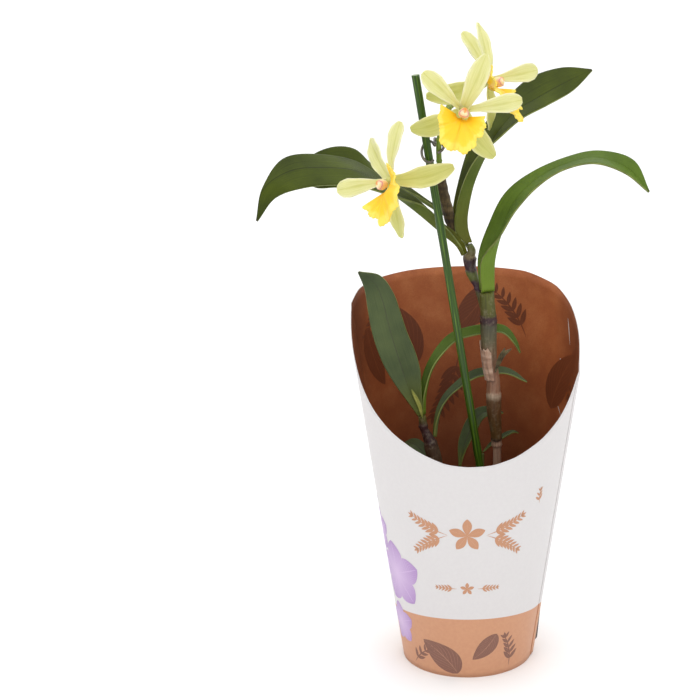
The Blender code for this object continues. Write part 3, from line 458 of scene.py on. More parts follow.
def repaint(node, skin):
    """Gives a finish to a solid of the frame that stays as it is."""
    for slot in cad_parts[node].material_slots:
        slot.material = skin


# Polypropylene: satin brown, with the faint grain of a sand-blasted mould
pot_plastic, tree, shader = surface("thermoformed_polypropylene", Roughness=0.42, IOR=1.49)
place = add(tree, "TexCoord").outputs["Object"]
haze = add(tree, "TexNoise", {"Vector": place, "Scale": every(11), "Detail": 4.0})
grain = add(tree, "TexNoise", {"Vector": place, "Scale": every(0.7), "Detail": 2.0})
tone = add(tree, "Mix", {"Factor": haze, "A": "#4A3528", "B": "#5E4535"}, data_type="RGBA")
scuff = add(tree, "MapRange", {"Value": haze, "To Min": 0.34, "To Max": 0.52})
moulded = add(tree, "Bump", {"Height": grain, "Strength": 0.15, "Distance": 0.0003})
feed(tree, shader, {"Base Color": tone, "Roughness": scuff, "Normal": moulded})
repaint("pot", pot_plastic)


# Growing medium: chips of pine bark, some broken small, heaped round the rhizome. The frame's bed shows
# between these loose chips.
POT_FILL_R = 53.0
BARK_TOP = 90.0
SMALL_CHIPS = 240
CHIP_CORNERS = 16
SPIRAL_STEP = 2.4  # radians from one chip to the next, which spreads them evenly

# Pine bark: layered red-brown flakes, dull and pitted, with paler weathered faces
bark, tree, shader = surface("composted_pine_bark", Roughness=0.93, IOR=1.45)
place = add(tree, "TexCoord").outputs["Object"]
layers = add(tree, "TexNoise", {"Vector": place, "Scale": every(7), "Detail": 7.0, "Roughness": 0.65})
pits = add(tree, "TexVoronoi", {"Vector": place, "Scale": every(1.9)})
browns = [(0.28, "#2A1A12"), (0.45, "#54341F"), (0.58, "#7A5034"), (0.75, "#A67C58")]
tone = add(tree, "ValToRGB", {"Fac": layers}, stops=browns)
rough = add(tree, "Math", {0: layers, 1: pits}, operation="MULTIPLY_ADD")
flaked = add(tree, "Bump", {"Height": rough, "Strength": 0.8, "Distance": 0.001})
feed(tree, shader, {"Base Color": tone, "Normal": flaked})
repaint("bark_mix", bark)

draw = np.random.default_rng(11)
bm = bmesh.new()
for number in range(SMALL_CHIPS):
    reach = POT_FILL_R * math.sqrt((number + 0.5) / SMALL_CHIPS)
    turn = SPIRAL_STEP * number
    centre = Vector((reach * math.cos(turn), reach * math.sin(turn), BARK_TOP + draw.uniform(0.5, 3.5)))
    chip_size = np.array([draw.uniform(3.5, 7.5), draw.uniform(2.5, 4.5), draw.uniform(1.2, 2.6)])
    spin = Matrix.Rotation(draw.uniform(0, 6.3), 3, "Z") @ Matrix.Rotation(draw.uniform(-0.7, 0.7), 3, "X")
    corners = []
    for _ in range(CHIP_CORNERS):
        corner = draw.normal(size=3)
        corner = corner / np.abs(corner).max() * draw.uniform(0.75, 1.0)
        corners.append(bm.verts.new((centre + spin @ Vector(corner * chip_size)) * MM))
    hull = bmesh.ops.convex_hull(bm, input=corners)
    bmesh.ops.delete(bm, geom=hull["geom_interior"], context="VERTS")
mesh = bpy.data.meshes.new("bark_chips")
bm.to_mesh(mesh)
bm.free()
mesh.materials.append(bark)
chips = bpy.data.objects.new("bark_chips", mesh)
bpy.context.scene.collection.objects.link(chips)
dress(chips, "bark")


# Rhizome, canes and short shoots: jointed fleshy stems. Each joint keeps a ring where a leaf or sheath
# fell, and the skin dries from green to purple-brown to grey and tan down the older growths.
RING_RISE, RING_SPREAD = 0.4, 0.7


def along(points, count, ease=1.0):
    """Places on a smooth curve through the points, closer together at its end where ease is over 1."""
    points = np.array(points, float)
    before, after = 2 * points[0] - points[1], 2 * points[-1] - points[-2]
    padded = np.vstack([before, points, after])
    dense = []
    for a, b, c, d in zip(padded, padded[1:], padded[2:], padded[3:]):
        for s in np.linspace(0, 1, 32, endpoint=False):
            bend = 2 * a - 5 * b + 4 * c - d
            turn = 3 * b - a - 3 * c + d
            dense.append(0.5 * (2 * b + (c - a) * s + bend * s**2 + turn * s**3))
    dense = np.array(dense + [points[-1]])
    steps = np.linalg.norm(np.diff(dense[:, :3], axis=0), axis=1)
    run = np.concatenate([[0], np.cumsum(steps)])
    share = 1 - (1 - np.linspace(0, 1, count)) ** ease
    return np.stack([np.interp(share * run[-1], run, column) for column in dense.T], axis=1)


def unit(vector):
    return vector / np.linalg.norm(vector)


def tube(name, route, rows, sides, *skins, rings=(), flute=0.0, wobble=0.0):
    """A stem through (x, y, z, radius) points, with a raised ring at some heights and shallow flutes."""
    places = along(route, rows + 1)
    runs = np.array([unit(run) for run in np.gradient(places[:, :3], axis=0)])
    sides_way = [unit(np.cross(runs[0], (0.1, -1.0, 0.05)))]
    for run in runs[1:]:
        sides_way.append(unit(sides_way[-1] - (sides_way[-1] @ run) * run))

    def spot(share, across):
        row = round(share * rows)
        x, y, z, radius = places[row]
        turn = -math.pi * across
        over, up = sides_way[row], np.cross(runs[row], sides_way[row])
        radius += sum(RING_RISE * math.exp(-(((z - ring) / RING_SPREAD) ** 2)) for ring in rings)
        radius *= 1 + flute * math.sin(7 * turn + 0.05 * z) + wobble * math.sin(0.31 * z + 2 * turn)
        return np.array([x, y, z]) + radius * (over * math.cos(turn) + up * math.sin(turn))

    return grid(name, rows, sides, spot, *skins, closed=True, capped=True)


def stem_skin(name, low, high, stops, roughness=0.5, mottle=0.25, coat=0.1):
    """Stem skin whose colour follows its height in mm, with long fibres, mottling and a waxy bloom."""
    made, tree, shader = surface(name, IOR=1.45, Coat_Weight=coat, Coat_Roughness=0.35)
    place = add(tree, "TexCoord").outputs["Object"]
    height = add(tree, "SeparateXYZ", {"Vector": place}).outputs["Z"]
    drift = add(tree, "TexNoise", {"Vector": place, "Scale": every(3.8), "Detail": 3.0})
    moved = add(tree, "Math", {0: drift, 1: 4 * MM, 2: height}, operation="MULTIPLY_ADD")
    ends = {"From Min": (low + 2) * MM, "From Max": (high + 2) * MM}
    share = add(tree, "MapRange", {"Value": moved, **ends})
    tone = add(tree, "ValToRGB", {"Fac": share}, stops=stops)
    stretched = add(tree, "Mapping", {"Vector": place, "Scale": (every(0.77), every(0.77), every(18))})
    fibres = add(tree, "TexNoise", {"Vector": stretched, "Scale": 1.0, "Detail": 4.0})
    blotch = add(tree, "TexNoise", {"Vector": place, "Scale": every(2.6), "Detail": 5.0, "Roughness": 0.6})
    shade = add(tree, "ValToRGB", {"Fac": fibres}, stops=[(0.3, "#9C9282"), (0.7, "#FFFFFF")])
    darker = {"Factor": 0.7, "A": tone, "B": shade}
    toned = add(tree, "Mix", darker, data_type="RGBA", blend_type="MULTIPLY")
    patch = add(tree, "MapRange", {"Value": blotch, "From Min": 0.5, "From Max": 0.75, "To Max": mottle})
    bloomed = add(tree, "Mix", {"Factor": patch, "A": toned, "B": "#A69A80"}, data_type="RGBA")
    dull = add(tree, "MapRange", {"Value": blotch, "To Min": roughness - 0.1, "To Max": roughness + 0.15})
    relief = add(tree, "Math", {0: blotch, 1: 0.4, 2: fibres}, operation="MULTIPLY_ADD")
    skin = add(tree, "Bump", {"Height": relief, "Strength": 0.5, "Distance": 0.0005})
    feed(tree, shader, {"Base Color": bloomed, "Roughness": dull, "Normal": skin})
    return made


RHIZOME_ROUTE = [
    (-33, -4, 92, 3.2), (-23, -4, 92, 4.2), (-8, 0, 92.5, 4.5), (8, 4, 92, 4.5), (21, 5, 92, 4.6),
    (30, 6, 92, 3.6),
]
CANE_MAIN_ROUTE = [
    (21.5, 4.5, 97.2, 3.6), (21.2, 4.2, 120, 3.0), (21.1, 4, 142, 2.9), (21, 4, 154, 2.9),
    (20.9, 4, 156, 3.5), (20.1, 4, 168, 4.1), (18.8, 4, 182, 5.1), (18.6, 4, 192, 5.3),
    (18.4, 4, 196, 4.9), (18.0, 4, 206, 4.6), (16.2, 4, 217, 4.8), (15.2, 4, 231, 5.4),
    (15.0, 4, 244, 5.8), (14.9, 4, 247, 5.9), (14.6, 4, 253, 5.4), (13.9, 4, 262, 5.1),
    (13.6, 4, 268.4, 5.0),
]
CANE_BACK_ROUTE = [
    (13.4, 12.4, 246, 2.4), (10.6, 13, 258, 2.6), (7.4, 13.2, 270, 2.9), (5, 13.2, 275, 3.3),
    (3.0, 13, 280, 3.9), (2.6, 12.9, 282, 3.7), (1.8, 12.4, 287, 4.3), (1.8, 12, 291, 4.8),
    (2.4, 11.8, 293, 3.3), (3.1, 11.6, 295.7, 2.9), (2.3, 11.2, 298.3, 2.6), (1.5, 11, 300.5, 2.1),
]
CANE_LEFT_ROUTE = [
    (-22, -4, 97.0, 4.2), (-21.5, -4, 120, 4.8), (-22.6, -4, 145, 5.2), (-25.4, -4, 158, 4.9),
    (-26.2, -4, 161.5, 4.2), (-29.6, -4, 169.5, 2.9), (-30.6, -4, 172.5, 3.0), (-31.6, -4, 180.6, 2.6),
]
SHOOTS = {
    "shoot_1": [(-5.5, 4.4, 96.9, 2.4), (-5.5, 8.5, 120, 2.0), (-5.2, 10, 137.4, 1.7)],
    "shoot_2": [(10, 9.0, 96.0, 2.4), (10.2, 15, 120, 2.0), (10.6, 20, 144.0, 1.6)],
    "shoot_3": [(-25.5, 2.8, 96.6, 2.4), (-25.4, 12, 116, 2.0), (-25.1, 18, 134.0, 1.7)],
}

# Woody skin of the rhizome: scaly, brown and dull
rhizome_skin = stem_skin("corky_rhizome_skin", 80, 110, [(0, "#4A3A26"), (1, "#6E5A3A")], 0.8, 0.5, 0.0)
# Main cane: tan at its foot, olive-brown under a pale bloom, pink-tan, grey-green, a purple ring, then green
main_skin = stem_skin(
    "waxy_orchid_cane_skin",
    150,
    270,
    [
        (0, "#B0907A"), (0.075, "#AC8C76"), (0.09, "#2E1E12"), (0.105, "#5E461E"), (0.2, "#5E421C"),
        (0.33, "#6A4A2C"), (0.362, "#C0AA92"), (0.39, "#9E745C"), (0.5, "#986C54"), (0.62, "#80664E"),
        (0.71, "#605C40"), (0.79, "#504E3A"), (0.808, "#36191E"), (0.84, "#3C1C22"), (0.855, "#52500F"),
        (1, "#5A6010"),
    ],
    mottle=0.3,
)
# Younger cane behind it: olive between two dark purple joints
back_skin = stem_skin(
    "young_orchid_cane_skin",
    246,
    301,
    [
        (0, "#5C5C2E"), (0.34, "#5A5A30"), (0.4, "#45283A"), (0.5, "#472A36"), (0.54, "#66702F"),
        (0.63, "#5F6830"), (0.66, "#3A222C"), (0.8, "#3C242C"), (0.84, "#80704C"), (1, "#6A7836"),
    ],
    0.42,
)
# Short cane on the left: brown with a bloom below, purple-brown where it narrows
left_skin = stem_skin(
    "old_orchid_cane_skin",
    100,
    182,
    [
        (0, "#4E3C26"), (0.7, "#523E2A"), (0.76, "#3A2220"), (0.9, "#442628"), (0.95, "#605C2A"),
        (1, "#72722E"),
    ],
    0.55,
    0.4,
)
# Short shoots: dull green, browner at the foot
shoot_skin = stem_skin("green_shoot_skin", 95, 145, [(0, "#5A5030"), (0.5, "#5E6434"), (1, "#667438")], 0.5)

rhizome = tube("rhizome_stem", RHIZOME_ROUTE, 60, 24, rhizome_skin, flute=0.04, wobble=0.03)
dress(rhizome, "rhizome_skin", "rhizome")
# name, route, rows, sides, skin, heights of its rings, flutes, CAD node
for name, route, rows, sides, skin, rings, flute, node in (
    ("main_cane", CANE_MAIN_ROUTE, 220, 32, main_skin, (156.5, 160.8, 194.5, 247.5, 251), 0.02, "cane_main"),
    ("back_cane", CANE_BACK_ROUTE, 110, 28, back_skin, (269, 281.5, 292.5), 0.012, "cane_back"),
    ("left_cane", CANE_LEFT_ROUTE, 140, 28, left_skin, (138, 161, 173.5), 0.025, "cane_left"),
):
    dress(tube(name, route, rows, sides, skin, rings=rings, flute=flute), "cane_skin", node)
for name, route in SHOOTS.items():
    dress(tube(name + "_stem", route, 50, 18, shoot_skin, rings=(118,), flute=0.02), "cane_skin", name)


# Stake: split bamboo dyed and lacquered green, pushed into the bark and leaning across the pot. Its two
# joints show as low swellings, and its sawn top is paler.
STAKE_R = 2.75
STAKE_FOOT = np.array([30.2, -14.9, 12.0])
STAKE_TOP = np.array([-34.6, -6.0, 421.9])
STAKE_JOINTS = (0.36, 0.74)  # shares of its length
JOINT_RISE, JOINT_SPREAD = 0.28, 0.008
STREAKS = (9.0, 16.0, 1.0)  # along and round the stake: one to 46 mm and one to 1.1 mm

# Green lacquer on bamboo: glossy, with the grain's lighter streaks running its length
lacquer, tree, shader = surface(
    "green_lacquered_bamboo", Specular_IOR_Level=0.3, Coat_Weight=0.15, Coat_Roughness=0.18
)
uv = add(tree, "TexCoord").outputs["UV"]
stretched = add(tree, "Mapping", {"Vector": uv, "Scale": STREAKS})
streak = add(tree, "TexNoise", {"Vector": stretched, "Scale": 1.0, "Detail": 5.0, "Roughness": 0.6})
greens = [(0.32, "#1A320A"), (0.47, "#2C4A0E"), (0.58, "#3E5C12"), (0.7, "#6A8A30")]
tone = add(tree, "ValToRGB", {"Fac": streak}, stops=greens)
dull = add(tree, "MapRange", {"Value": streak, "To Min": 0.25, "To Max": 0.5})
grain = add(tree, "Bump", {"Height": streak, "Strength": 0.35, "Distance": 0.0004})
feed(tree, shader, {"Base Color": tone, "Roughness": dull, "Normal": grain})

# Sawn end grain: grey-green, dry and full of pores
end_grain, tree, shader = surface("sawn_bamboo_end", Roughness=0.85)
place = add(tree, "TexCoord").outputs["Object"]
pores = add(tree, "TexVoronoi", {"Vector": place, "Scale": every(0.38)})
tone = add(tree, "ValToRGB", {"Fac": pores}, stops=[(0.0, "#5E6A52"), (0.5, "#98A486"), (1.0, "#B4BCA0")])
feed(tree, shader, {"Base Color": tone})

stake_route = []
for share in np.linspace(0, 1, 60):
    swell = sum(JOINT_RISE * math.exp(-(((share - at) / JOINT_SPREAD) ** 2)) for at in STAKE_JOINTS)
    stake_route.append((*(STAKE_FOOT + (STAKE_TOP - STAKE_FOOT) * share), STAKE_R + swell))
stake = tube("bamboo_stake", stake_route, 240, 32, lacquer, end_grain, flute=0.012)
dress(stake, "stake_bamboo", "stake")


# Clip: one moulded strip of smoky plastic with a loop at each end. The larger loop springs round the stake
# and the smaller one round the flower stem, which it holds up.
CLIP_WIRE = 0.9
STAKE_LOOP, STAKE_LOOP_R, STAKE_LOOP_Z = (-26.1, -7.2), 4.6, 368
STEM_LOOP, STEM_LOOP_R, STEM_LOOP_Z = (-19.2, -0.2), 3.25, 377

# Smoky polycarbonate: half clear, glossy, greyer where it is thick
smoke, tree, shader = surface(
    "smoky_polycarbonate", Roughness=0.2, IOR=1.58, Transmission_Weight=0.25, Coat_Weight=0.2
)
place = add(tree, "TexCoord").outputs["Object"]
haze = add(tree, "TexNoise", {"Vector": place, "Scale": every(4.2)})
tone = add(tree, "ValToRGB", {"Fac": haze}, stops=[(0.3, "#4A463E"), (0.7, "#7C766A")])
feed(tree, shader, {"Base Color": tone})

clip_route = []
for share in np.linspace(0, 1, 9):
    turn = math.radians(-40 - 300 * share)
    x, y = STAKE_LOOP[0] + STAKE_LOOP_R * math.cos(turn), STAKE_LOOP[1] + STAKE_LOOP_R * math.sin(turn)
    clip_route.append((x, y, STAKE_LOOP_Z + 5 * math.sin(turn) + 4 * share, CLIP_WIRE))
for share in np.linspace(0, 1, 7):
    turn = math.radians(150 - 250 * share)
    x, y = STEM_LOOP[0] + STEM_LOOP_R * math.cos(turn), STEM_LOOP[1] + STEM_LOOP_R * math.sin(turn)
    clip_route.append((x, y, STEM_LOOP_Z - 9 * share, CLIP_WIRE))
dress(tube("plastic_clip", clip_route, 160, 14, smoke), "clip_plastic", "stake_clip")


# Long leaves above the sleeve: thick, leathery and keeled, each drawn by its far edge, its keel and its
# near edge from base to tip. Their upper face is darker and glossier than the underside, with a pale rim.
LEAF_THICK = 1.2
KEEL_SOFT = 0.16  # how far out from the keel the two halves are rounded into each other
LEAF_VEINS = (5.0, 58.0, 1.0)  # along and across a leaf: one to 34 mm and one to 0.4 mm


def leaf_skin(name, deep, fresh, rib, base, roughness=0.36, coat=0.25):
    """Leathery leaf skin: long parallel veins, cloudy green, a midrib line, yellow base and dry tip."""
    made, tree, shader = surface(name, Specular_IOR_Level=0.15, Coat_Weight=coat, Coat_Roughness=0.25)
    coords = add(tree, "TexCoord")
    uv = add(tree, "SeparateXYZ", {"Vector": coords.outputs["UV"]})
    stretched = add(tree, "Mapping", {"Vector": coords.outputs["UV"], "Scale": LEAF_VEINS})
    veins = add(tree, "TexNoise", {"Vector": stretched, "Scale": 1.0, "Detail": 3.0, "Roughness": 0.55})
    place = coords.outputs["Object"]
    cloud = add(tree, "TexNoise", {"Vector": place, "Scale": every(24), "Detail": 5.0})
    pores = add(tree, "TexNoise", {"Vector": place, "Scale": every(1.1), "Detail": 2.0})
    blend = add(tree, "Math", {0: veins, 1: 0.55, 2: cloud}, operation="MULTIPLY_ADD")
    blend = add(tree, "MapRange", {"Value": blend, "From Min": 0.55, "From Max": 1.0})
    tone = add(tree, "Mix", {"Factor": blend, "A": deep, "B": fresh}, data_type="RGBA")
    near_rib = {"Value": from_midrib(tree, uv), "From Min": 0.012, "From Max": 0.035}
    near_rib = add(tree, "MapRange", {**near_rib, "To Min": 0.75, "To Max": 0.0})
    ribbed = add(tree, "Mix", {"Factor": near_rib, "A": tone, "B": rib}, data_type="RGBA")
    run = uv.outputs["X"]
    near_base = add(tree, "MapRange", {"Value": run, "From Max": 0.22, "To Min": 0.85, "To Max": 0.0})
    based = add(tree, "Mix", {"Factor": near_base, "A": ribbed, "B": base}, data_type="RGBA")
    near_tip = add(tree, "MapRange", {"Value": run, "From Min": 0.955, "To Max": 0.8})
    tipped = add(tree, "Mix", {"Factor": near_tip, "A": based, "B": "#332C1E"}, data_type="RGBA")
    dull = add(tree, "MapRange", {"Value": cloud, "To Min": roughness - 0.1, "To Max": roughness + 0.12})
    relief = add(tree, "Math", {0: pores, 1: 0.25, 2: veins}, operation="MULTIPLY_ADD")
    groove = add(tree, "Math", {0: near_rib, 1: -0.8, 2: relief}, operation="MULTIPLY_ADD")
    skin = add(tree, "Bump", {"Height": groove, "Strength": 0.35, "Distance": 0.0006})
    feed(tree, shader, {"Base Color": tipped, "Roughness": dull, "Normal": skin})
    return made


def ribbon(name, far, keel, near, *skins, rows=110, columns=24, ruffle=0.35):
    """A long leaf between its far edge, its keel and its near edge, rounded at the keel."""
    routes = [along(points, rows + 1, ease=1.25) for points in (far, keel, near)]

    def spot(share, across):
        behind, middle, front = (route[round(share * rows)] for route in routes)
        edge = behind if across < 0 else front
        out = (math.hypot(across, KEEL_SOFT) - KEEL_SOFT) / (math.hypot(1, KEEL_SOFT) - KEEL_SOFT)
        blend = 0.82 * out + 0.18 * abs(across)
        swing = ruffle * across**3 * math.sin(21 * share + 3 * across) * math.sin(math.pi * share)
        return middle + (edge - middle) * blend + np.array([0, 0, swing])

    return thicken(grid(name, rows, columns, spot, *skins), LEAF_THICK, under=1, rim=2)


# Pale, almost dry edge of a leaf, a hair's breadth of yellow-green
leaf_margin, tree, shader = surface("leaf_margin", Roughness=0.5)
place = add(tree, "TexCoord").outputs["Object"]
haze = add(tree, "TexNoise", {"Vector": place, "Scale": every(8.3)})
tone = add(tree, "ValToRGB", {"Fac": haze}, stops=[(0.3, "#5A6428"), (0.7, "#808A40")])
feed(tree, shader, {"Base Color": tone})

# Leathery leaf faces, satin and waxy: yellow-green on the right leaf, olive on the dark ones behind the
# blooms, and grey-green on those in the sleeve's shade. Each underside is paler and duller than its top.
fresh_top = leaf_skin("fresh_leaf_upper_face", "#43581A", "#5F7826", "#30420E", "#637A24", 0.42, 0.05)
fresh_under = leaf_skin("fresh_leaf_underside", "#54701F", "#708C34", "#7C984A", "#6A8028", 0.5, 0.03)
olive_top = leaf_skin("olive_leaf_upper_face", "#2E3804", "#4A5610", "#1E2404", "#5E5E18", 0.4, 0.05)
olive_under = leaf_skin("olive_leaf_underside", "#4A5A1C", "#61702C", "#6A7636", "#646428", 0.5, 0.03)
grey_top = leaf_skin("grey_green_leaf_upper_face", "#3E4A30", "#56623E", "#453A3C", "#6C7434", 0.45, 0.04)
grey_under = leaf_skin("grey_green_leaf_underside", "#4A5A3A", "#62744E", "#5A624A", "#808A48", 0.5, 0.03)

leaf_right = ribbon(
    "right_leaf",
    [
        (8.8, 7.6, 268.9), (7.6, 8.7, 292.5), (15, 9.7, 315.7), (25.9, 8.9, 337.1),
        (44.5, 6.7, 352.6), (65.8, 2.6, 363.6), (89.3, -0.6, 368.7), (112.3, -5.9, 364),
        (123.2, -10.7, 343.4),
    ],
    [
        (18.4, 5, 268.9), (18.9, 4.7, 291.3), (24.2, 3.3, 312.8), (32.4, 1.1, 333.1),
        (47.3, -0.7, 349.1), (66.3, -3.5, 360.1), (87.1, -6.3, 365.3), (107.7, -9.1, 358.8),
        (122.8, -11, 343),
    ],
    [
        (9.8, 1.2, 268.9), (9.9, -1, 292.3), (22.2, -5, 310), (32.7, -9, 329.3),
        (46.5, -12.7, 346.4), (64.7, -15.1, 358.8), (85.6, -17.2, 364.3), (106.2, -16.4, 356.8),
        (122.7, -11.6, 342.8),
    ],
    fresh_under,
    fresh_top,
    leaf_margin,
)
dress(leaf_right, "leaf", "leaf_right")

leaf_left_front = ribbon(
    "left_front_leaf",
    [
        (-0.2, 9.4, 295.2), (-1.9, 8.6, 300.8), (-5.3, 6.6, 306.5), (-9.7, 6, 311.9), (-18, 7.6, 317.7),
        (-35.8, 11.9, 333.8), (-57, 15.4, 345.7), (-78.2, 17.9, 358.1), (-102.3, 17.3, 362.7),
        (-126, 12.4, 360.1), (-139.3, 4.5, 342.3), (-144.1, 3.4, 319.6),
    ],
    [
        (-3.5, 6.8, 293.8), (-5.2, 5.4, 297.9), (-8.2, 4.2, 302.5), (-13.4, 4, 307), (-18.6, 4, 311.5),
        (-35.9, 4.3, 326.4), (-54.5, 5.4, 340.2), (-74.1, 6, 352.7), (-97.1, 6, 355.5),
        (-120.1, 5, 353.7), (-138.7, 3.5, 341.4), (-143.9, 3, 319.3),
    ],
    [
        (-1.8, 5.8, 295), (-3.6, 3.8, 299.8), (-6.4, 1.8, 304.6), (-9.6, 0.8, 309.4), (-13.4, 0.2, 314),
        (-28.2, -1.3, 329.6), (-48.1, -4.4, 337.6), (-68.5, -6, 344.5), (-90, -5.6, 346.1),
        (-111.4, -3.3, 344), (-130.8, 0.8, 335.4), (-143.4, 2.8, 318.9),
    ],
    olive_top,
    olive_under,
    leaf_margin,
)
dress(leaf_left_front, "leaf", "leaf_left_front")

leaf_left_back = ribbon(
    "left_back_leaf",
    [
        (2.4, 15.6, 297.2), (-3.6, 21.2, 306.5), (-14, 22.2, 320), (-27.2, 24.2, 328.8),
        (-40.4, 28.4, 336.8), (-54.1, 33.4, 343.3), (-66.8, 37.5, 351.6), (-78.3, 37.8, 361.7),
        (-94, 36.4, 363.3), (-108.3, 33.8, 357.6), (-116.1, 31.2, 343.4),
    ],
    [
        (1.2, 15.1, 296.6), (-4.6, 19.6, 304.9), (-12.6, 20.7, 316.1), (-24.4, 20.7, 324.2),
        (-36.3, 22.7, 331.5), (-48.4, 24.8, 338.5), (-61.2, 27, 344), (-74.8, 28.6, 347.2),
        (-88.8, 29.8, 348.8), (-102.9, 30.8, 347.7), (-115.9, 31, 342.9),
    ],
    [
        (0, 14.8, 297), (-6.2, 19.4, 306.7), (-14, 19.2, 317.9), (-25.1, 19, 326.6),
        (-36.8, 19.7, 334.1), (-49.4, 20, 339.4), (-63.2, 20.6, 339.8), (-77.1, 21.8, 338.8),
        (-90.8, 23.7, 338), (-104.3, 26.8, 336.6), (-115.9, 30.8, 342.3),
    ],
    olive_top,
    olive_under,
    leaf_margin,
)
dress(leaf_left_back, "leaf_shaded", "leaf_left_back")

leaf_upper = ribbon(
    "upper_leaf",
    [
        (-0.2, 13.8, 301.6), (-7, 16.2, 307), (-9.4, 17.6, 313), (-9.9, 19, 323.3), (-5.5, 25.8, 343.7),
        (1.2, 35.4, 362.7), (13.1, 44.7, 379.1), (27.3, 52, 394.7), (44.4, 56.5, 408.1),
        (65.2, 55.7, 415.5), (86.1, 50.4, 415.3),
    ],
    [
        (3.0, 11, 302.1), (1.2, 11.8, 307), (0, 12.6, 313), (0.2, 14.6, 322.4), (4.3, 20.3, 340.9),
        (11.9, 27.6, 357.8), (21.3, 34.7, 373.8), (34.3, 40.4, 387.5), (51, 44.8, 397.4),
        (68.4, 47.9, 406.5), (86.3, 50, 414.9),
    ],
    [
        (-0.6, 9.4, 301.8), (-6.2, 8.2, 307.2), (-8.4, 8.2, 313), (-8.2, 9.6, 323.4), (-2.6, 16.1, 342.5),
        (6.8, 21.8, 359.3), (22, 26.7, 372.1), (37.7, 31.6, 384.3), (55.4, 36.6, 393.3),
        (72.9, 43.1, 401.6), (86.6, 49.6, 414.5),
    ],
    olive_under,
    olive_top,
    leaf_margin,
)
dress(leaf_upper, "leaf", "leaf_upper")

leaf_dark = ribbon(
    "dark_leaf",
    [
        (-34, -6, 181.1), (-44, -4.8, 194.9), (-51.7, -3, 206), (-58.5, -1, 217.6),
        (-63.3, 0.8, 230.2), (-66.7, 2, 243.3), (-68.9, 3, 256.6), (-70.8, 3.8, 270),
        (-75.5, 4.8, 282.2),
    ],
    [
        (-32.6, -4.4, 181), (-39.4, -2.3, 196.2), (-43.9, -0.1, 209), (-48, 2, 222),
        (-52, 3.9, 235.1), (-55.4, 5, 248.4), (-58.6, 5.9, 261.7), (-63.9, 6, 274.4),
        (-75, 5, 282.5),
    ],
    [
        (-30.9, -6.1, 181.2), (-31.9, -4.5, 199.5), (-32.8, -2.1, 213.8), (-36.6, 0.3, 227.7),
        (-42.1, 2, 241.1), (-46.6, 3.2, 254.9), (-51.4, 4.5, 268.6), (-60.3, 5, 279.8),
        (-74.7, 4.9, 283),
    ],
    grey_under,
    grey_top,
    leaf_margin,
)
dress(leaf_dark, "leaf_shaded", "leaf_dark")


# Leaves of the shorter growths inside the sleeve: narrow arching straps and small broad blades, with the
# yellow-green spear of a young bract. Each grows from the top of its own shoot or cane.
LOW_LEAF_THICK = 0.9


def blade(
    name, spine, outline, width, faces, fold, *skins,
    thickness=LOW_LEAF_THICK, rows=60, columns=14, wave=(0, 0),
):
    """A leaf or petal: a grid carried along its midrib.

    faces are the ways its upper side looks, from base to tip. fold is how far each half rises from flat
    at the base and at the tip, in degrees. wave is the height and the number of ripples at its edges.
    """
    places = along(spine, rows + 1, ease=1.25)
    steps = np.linalg.norm(np.diff(places, axis=0), axis=1)
    shares = np.concatenate([[0], np.cumsum(steps)]) / steps.sum()
    faces = np.array(faces, float)
    ways = np.linspace(0, 1, len(faces))

    def spot(share, across):
        index = round(share * rows)
        here = places[index]
        ahead, behind = places[min(index + 1, rows)], places[max(index - 1, 0)]
        run = unit(ahead - behind)
        length = shares[index]
        look = np.array([np.interp(length, ways, faces[:, axis]) for axis in range(3)])
        up = unit(look - (look @ run) * run)
        side = np.cross(up, run)
        half = 0.5 * width * read_smooth(outline, length)
        rise = math.radians(np.interp(length, [0, 1], fold)) * abs(across) ** 0.15
        ripple = wave[0] * across**3 * math.sin(2 * math.pi * (wave[1] * length + 0.2 * across))
        lift = abs(across) * half * math.sin(rise) + ripple
        return here + side * across * half * math.cos(rise) + up * lift

    return thicken(grid(name, rows, columns, spot, *skins), thickness, under=1, rim=2)


# Half widths along a blade, as (share of the length, share of the greatest half width)
STRAP_LEAF = [
    (0, 0.60), (0.12, 0.66), (0.3, 0.80), (0.5, 0.97), (0.66, 1), (0.82, 0.82), (0.93, 0.48), (1, 0.08),
]
BROAD_LEAF = [(0, 0.16), (0.12, 0.42), (0.3, 0.84), (0.5, 1), (0.72, 0.90), (0.88, 0.55), (1, 0.08)]
low_skins = (grey_top, grey_under, leaf_margin)

thin_arch = blade(
    "thin_arching_leaf",
    [
        (-29.3, -1.3, 181.3), (-28.8, 0, 195), (-25.4, 5, 209), (-18.4, 8, 221), (-9.4, 13, 229.5),
        (0.2, 15, 233), (15.3, 18.6, 235), (25.1, 18, 235), (32.1, 17, 228.5), (37.1, 15, 220.8),
    ],
    STRAP_LEAF, 14, [(-1, -0.3, 0.3), (-0.6, -0.4, 1), (0, -0.3, 1), (0.9, -0.3, 0.6)], (45, 25),
    fresh_top, fresh_under, leaf_margin,
)
dress(thin_arch, "leaf_shaded", "leaf_thin_arch")
low_arch = blade(
    "low_arching_leaf",
    [
        (-21.8, 0.2, 163.5), (-20.6, 2.7, 173), (-18.2, 5.5, 182), (-13.4, 8.5, 190),
        (-6.4, 11.5, 196.2), (1.5, 14.5, 201.4), (9, 17, 204), (23.1, 19, 205.4), (31.6, 19, 203.6),
        (38, 18, 200.4), (42.2, 17, 198.7),
    ],
    STRAP_LEAF, 10, [(-1, 0, 0.3), (-0.6, -0.6, 1), (0, -0.5, 1), (0.3, -0.3, 1)], (45, 25), *low_skins,
)
dress(low_arch, "leaf_shaded", "leaf_low_arch")
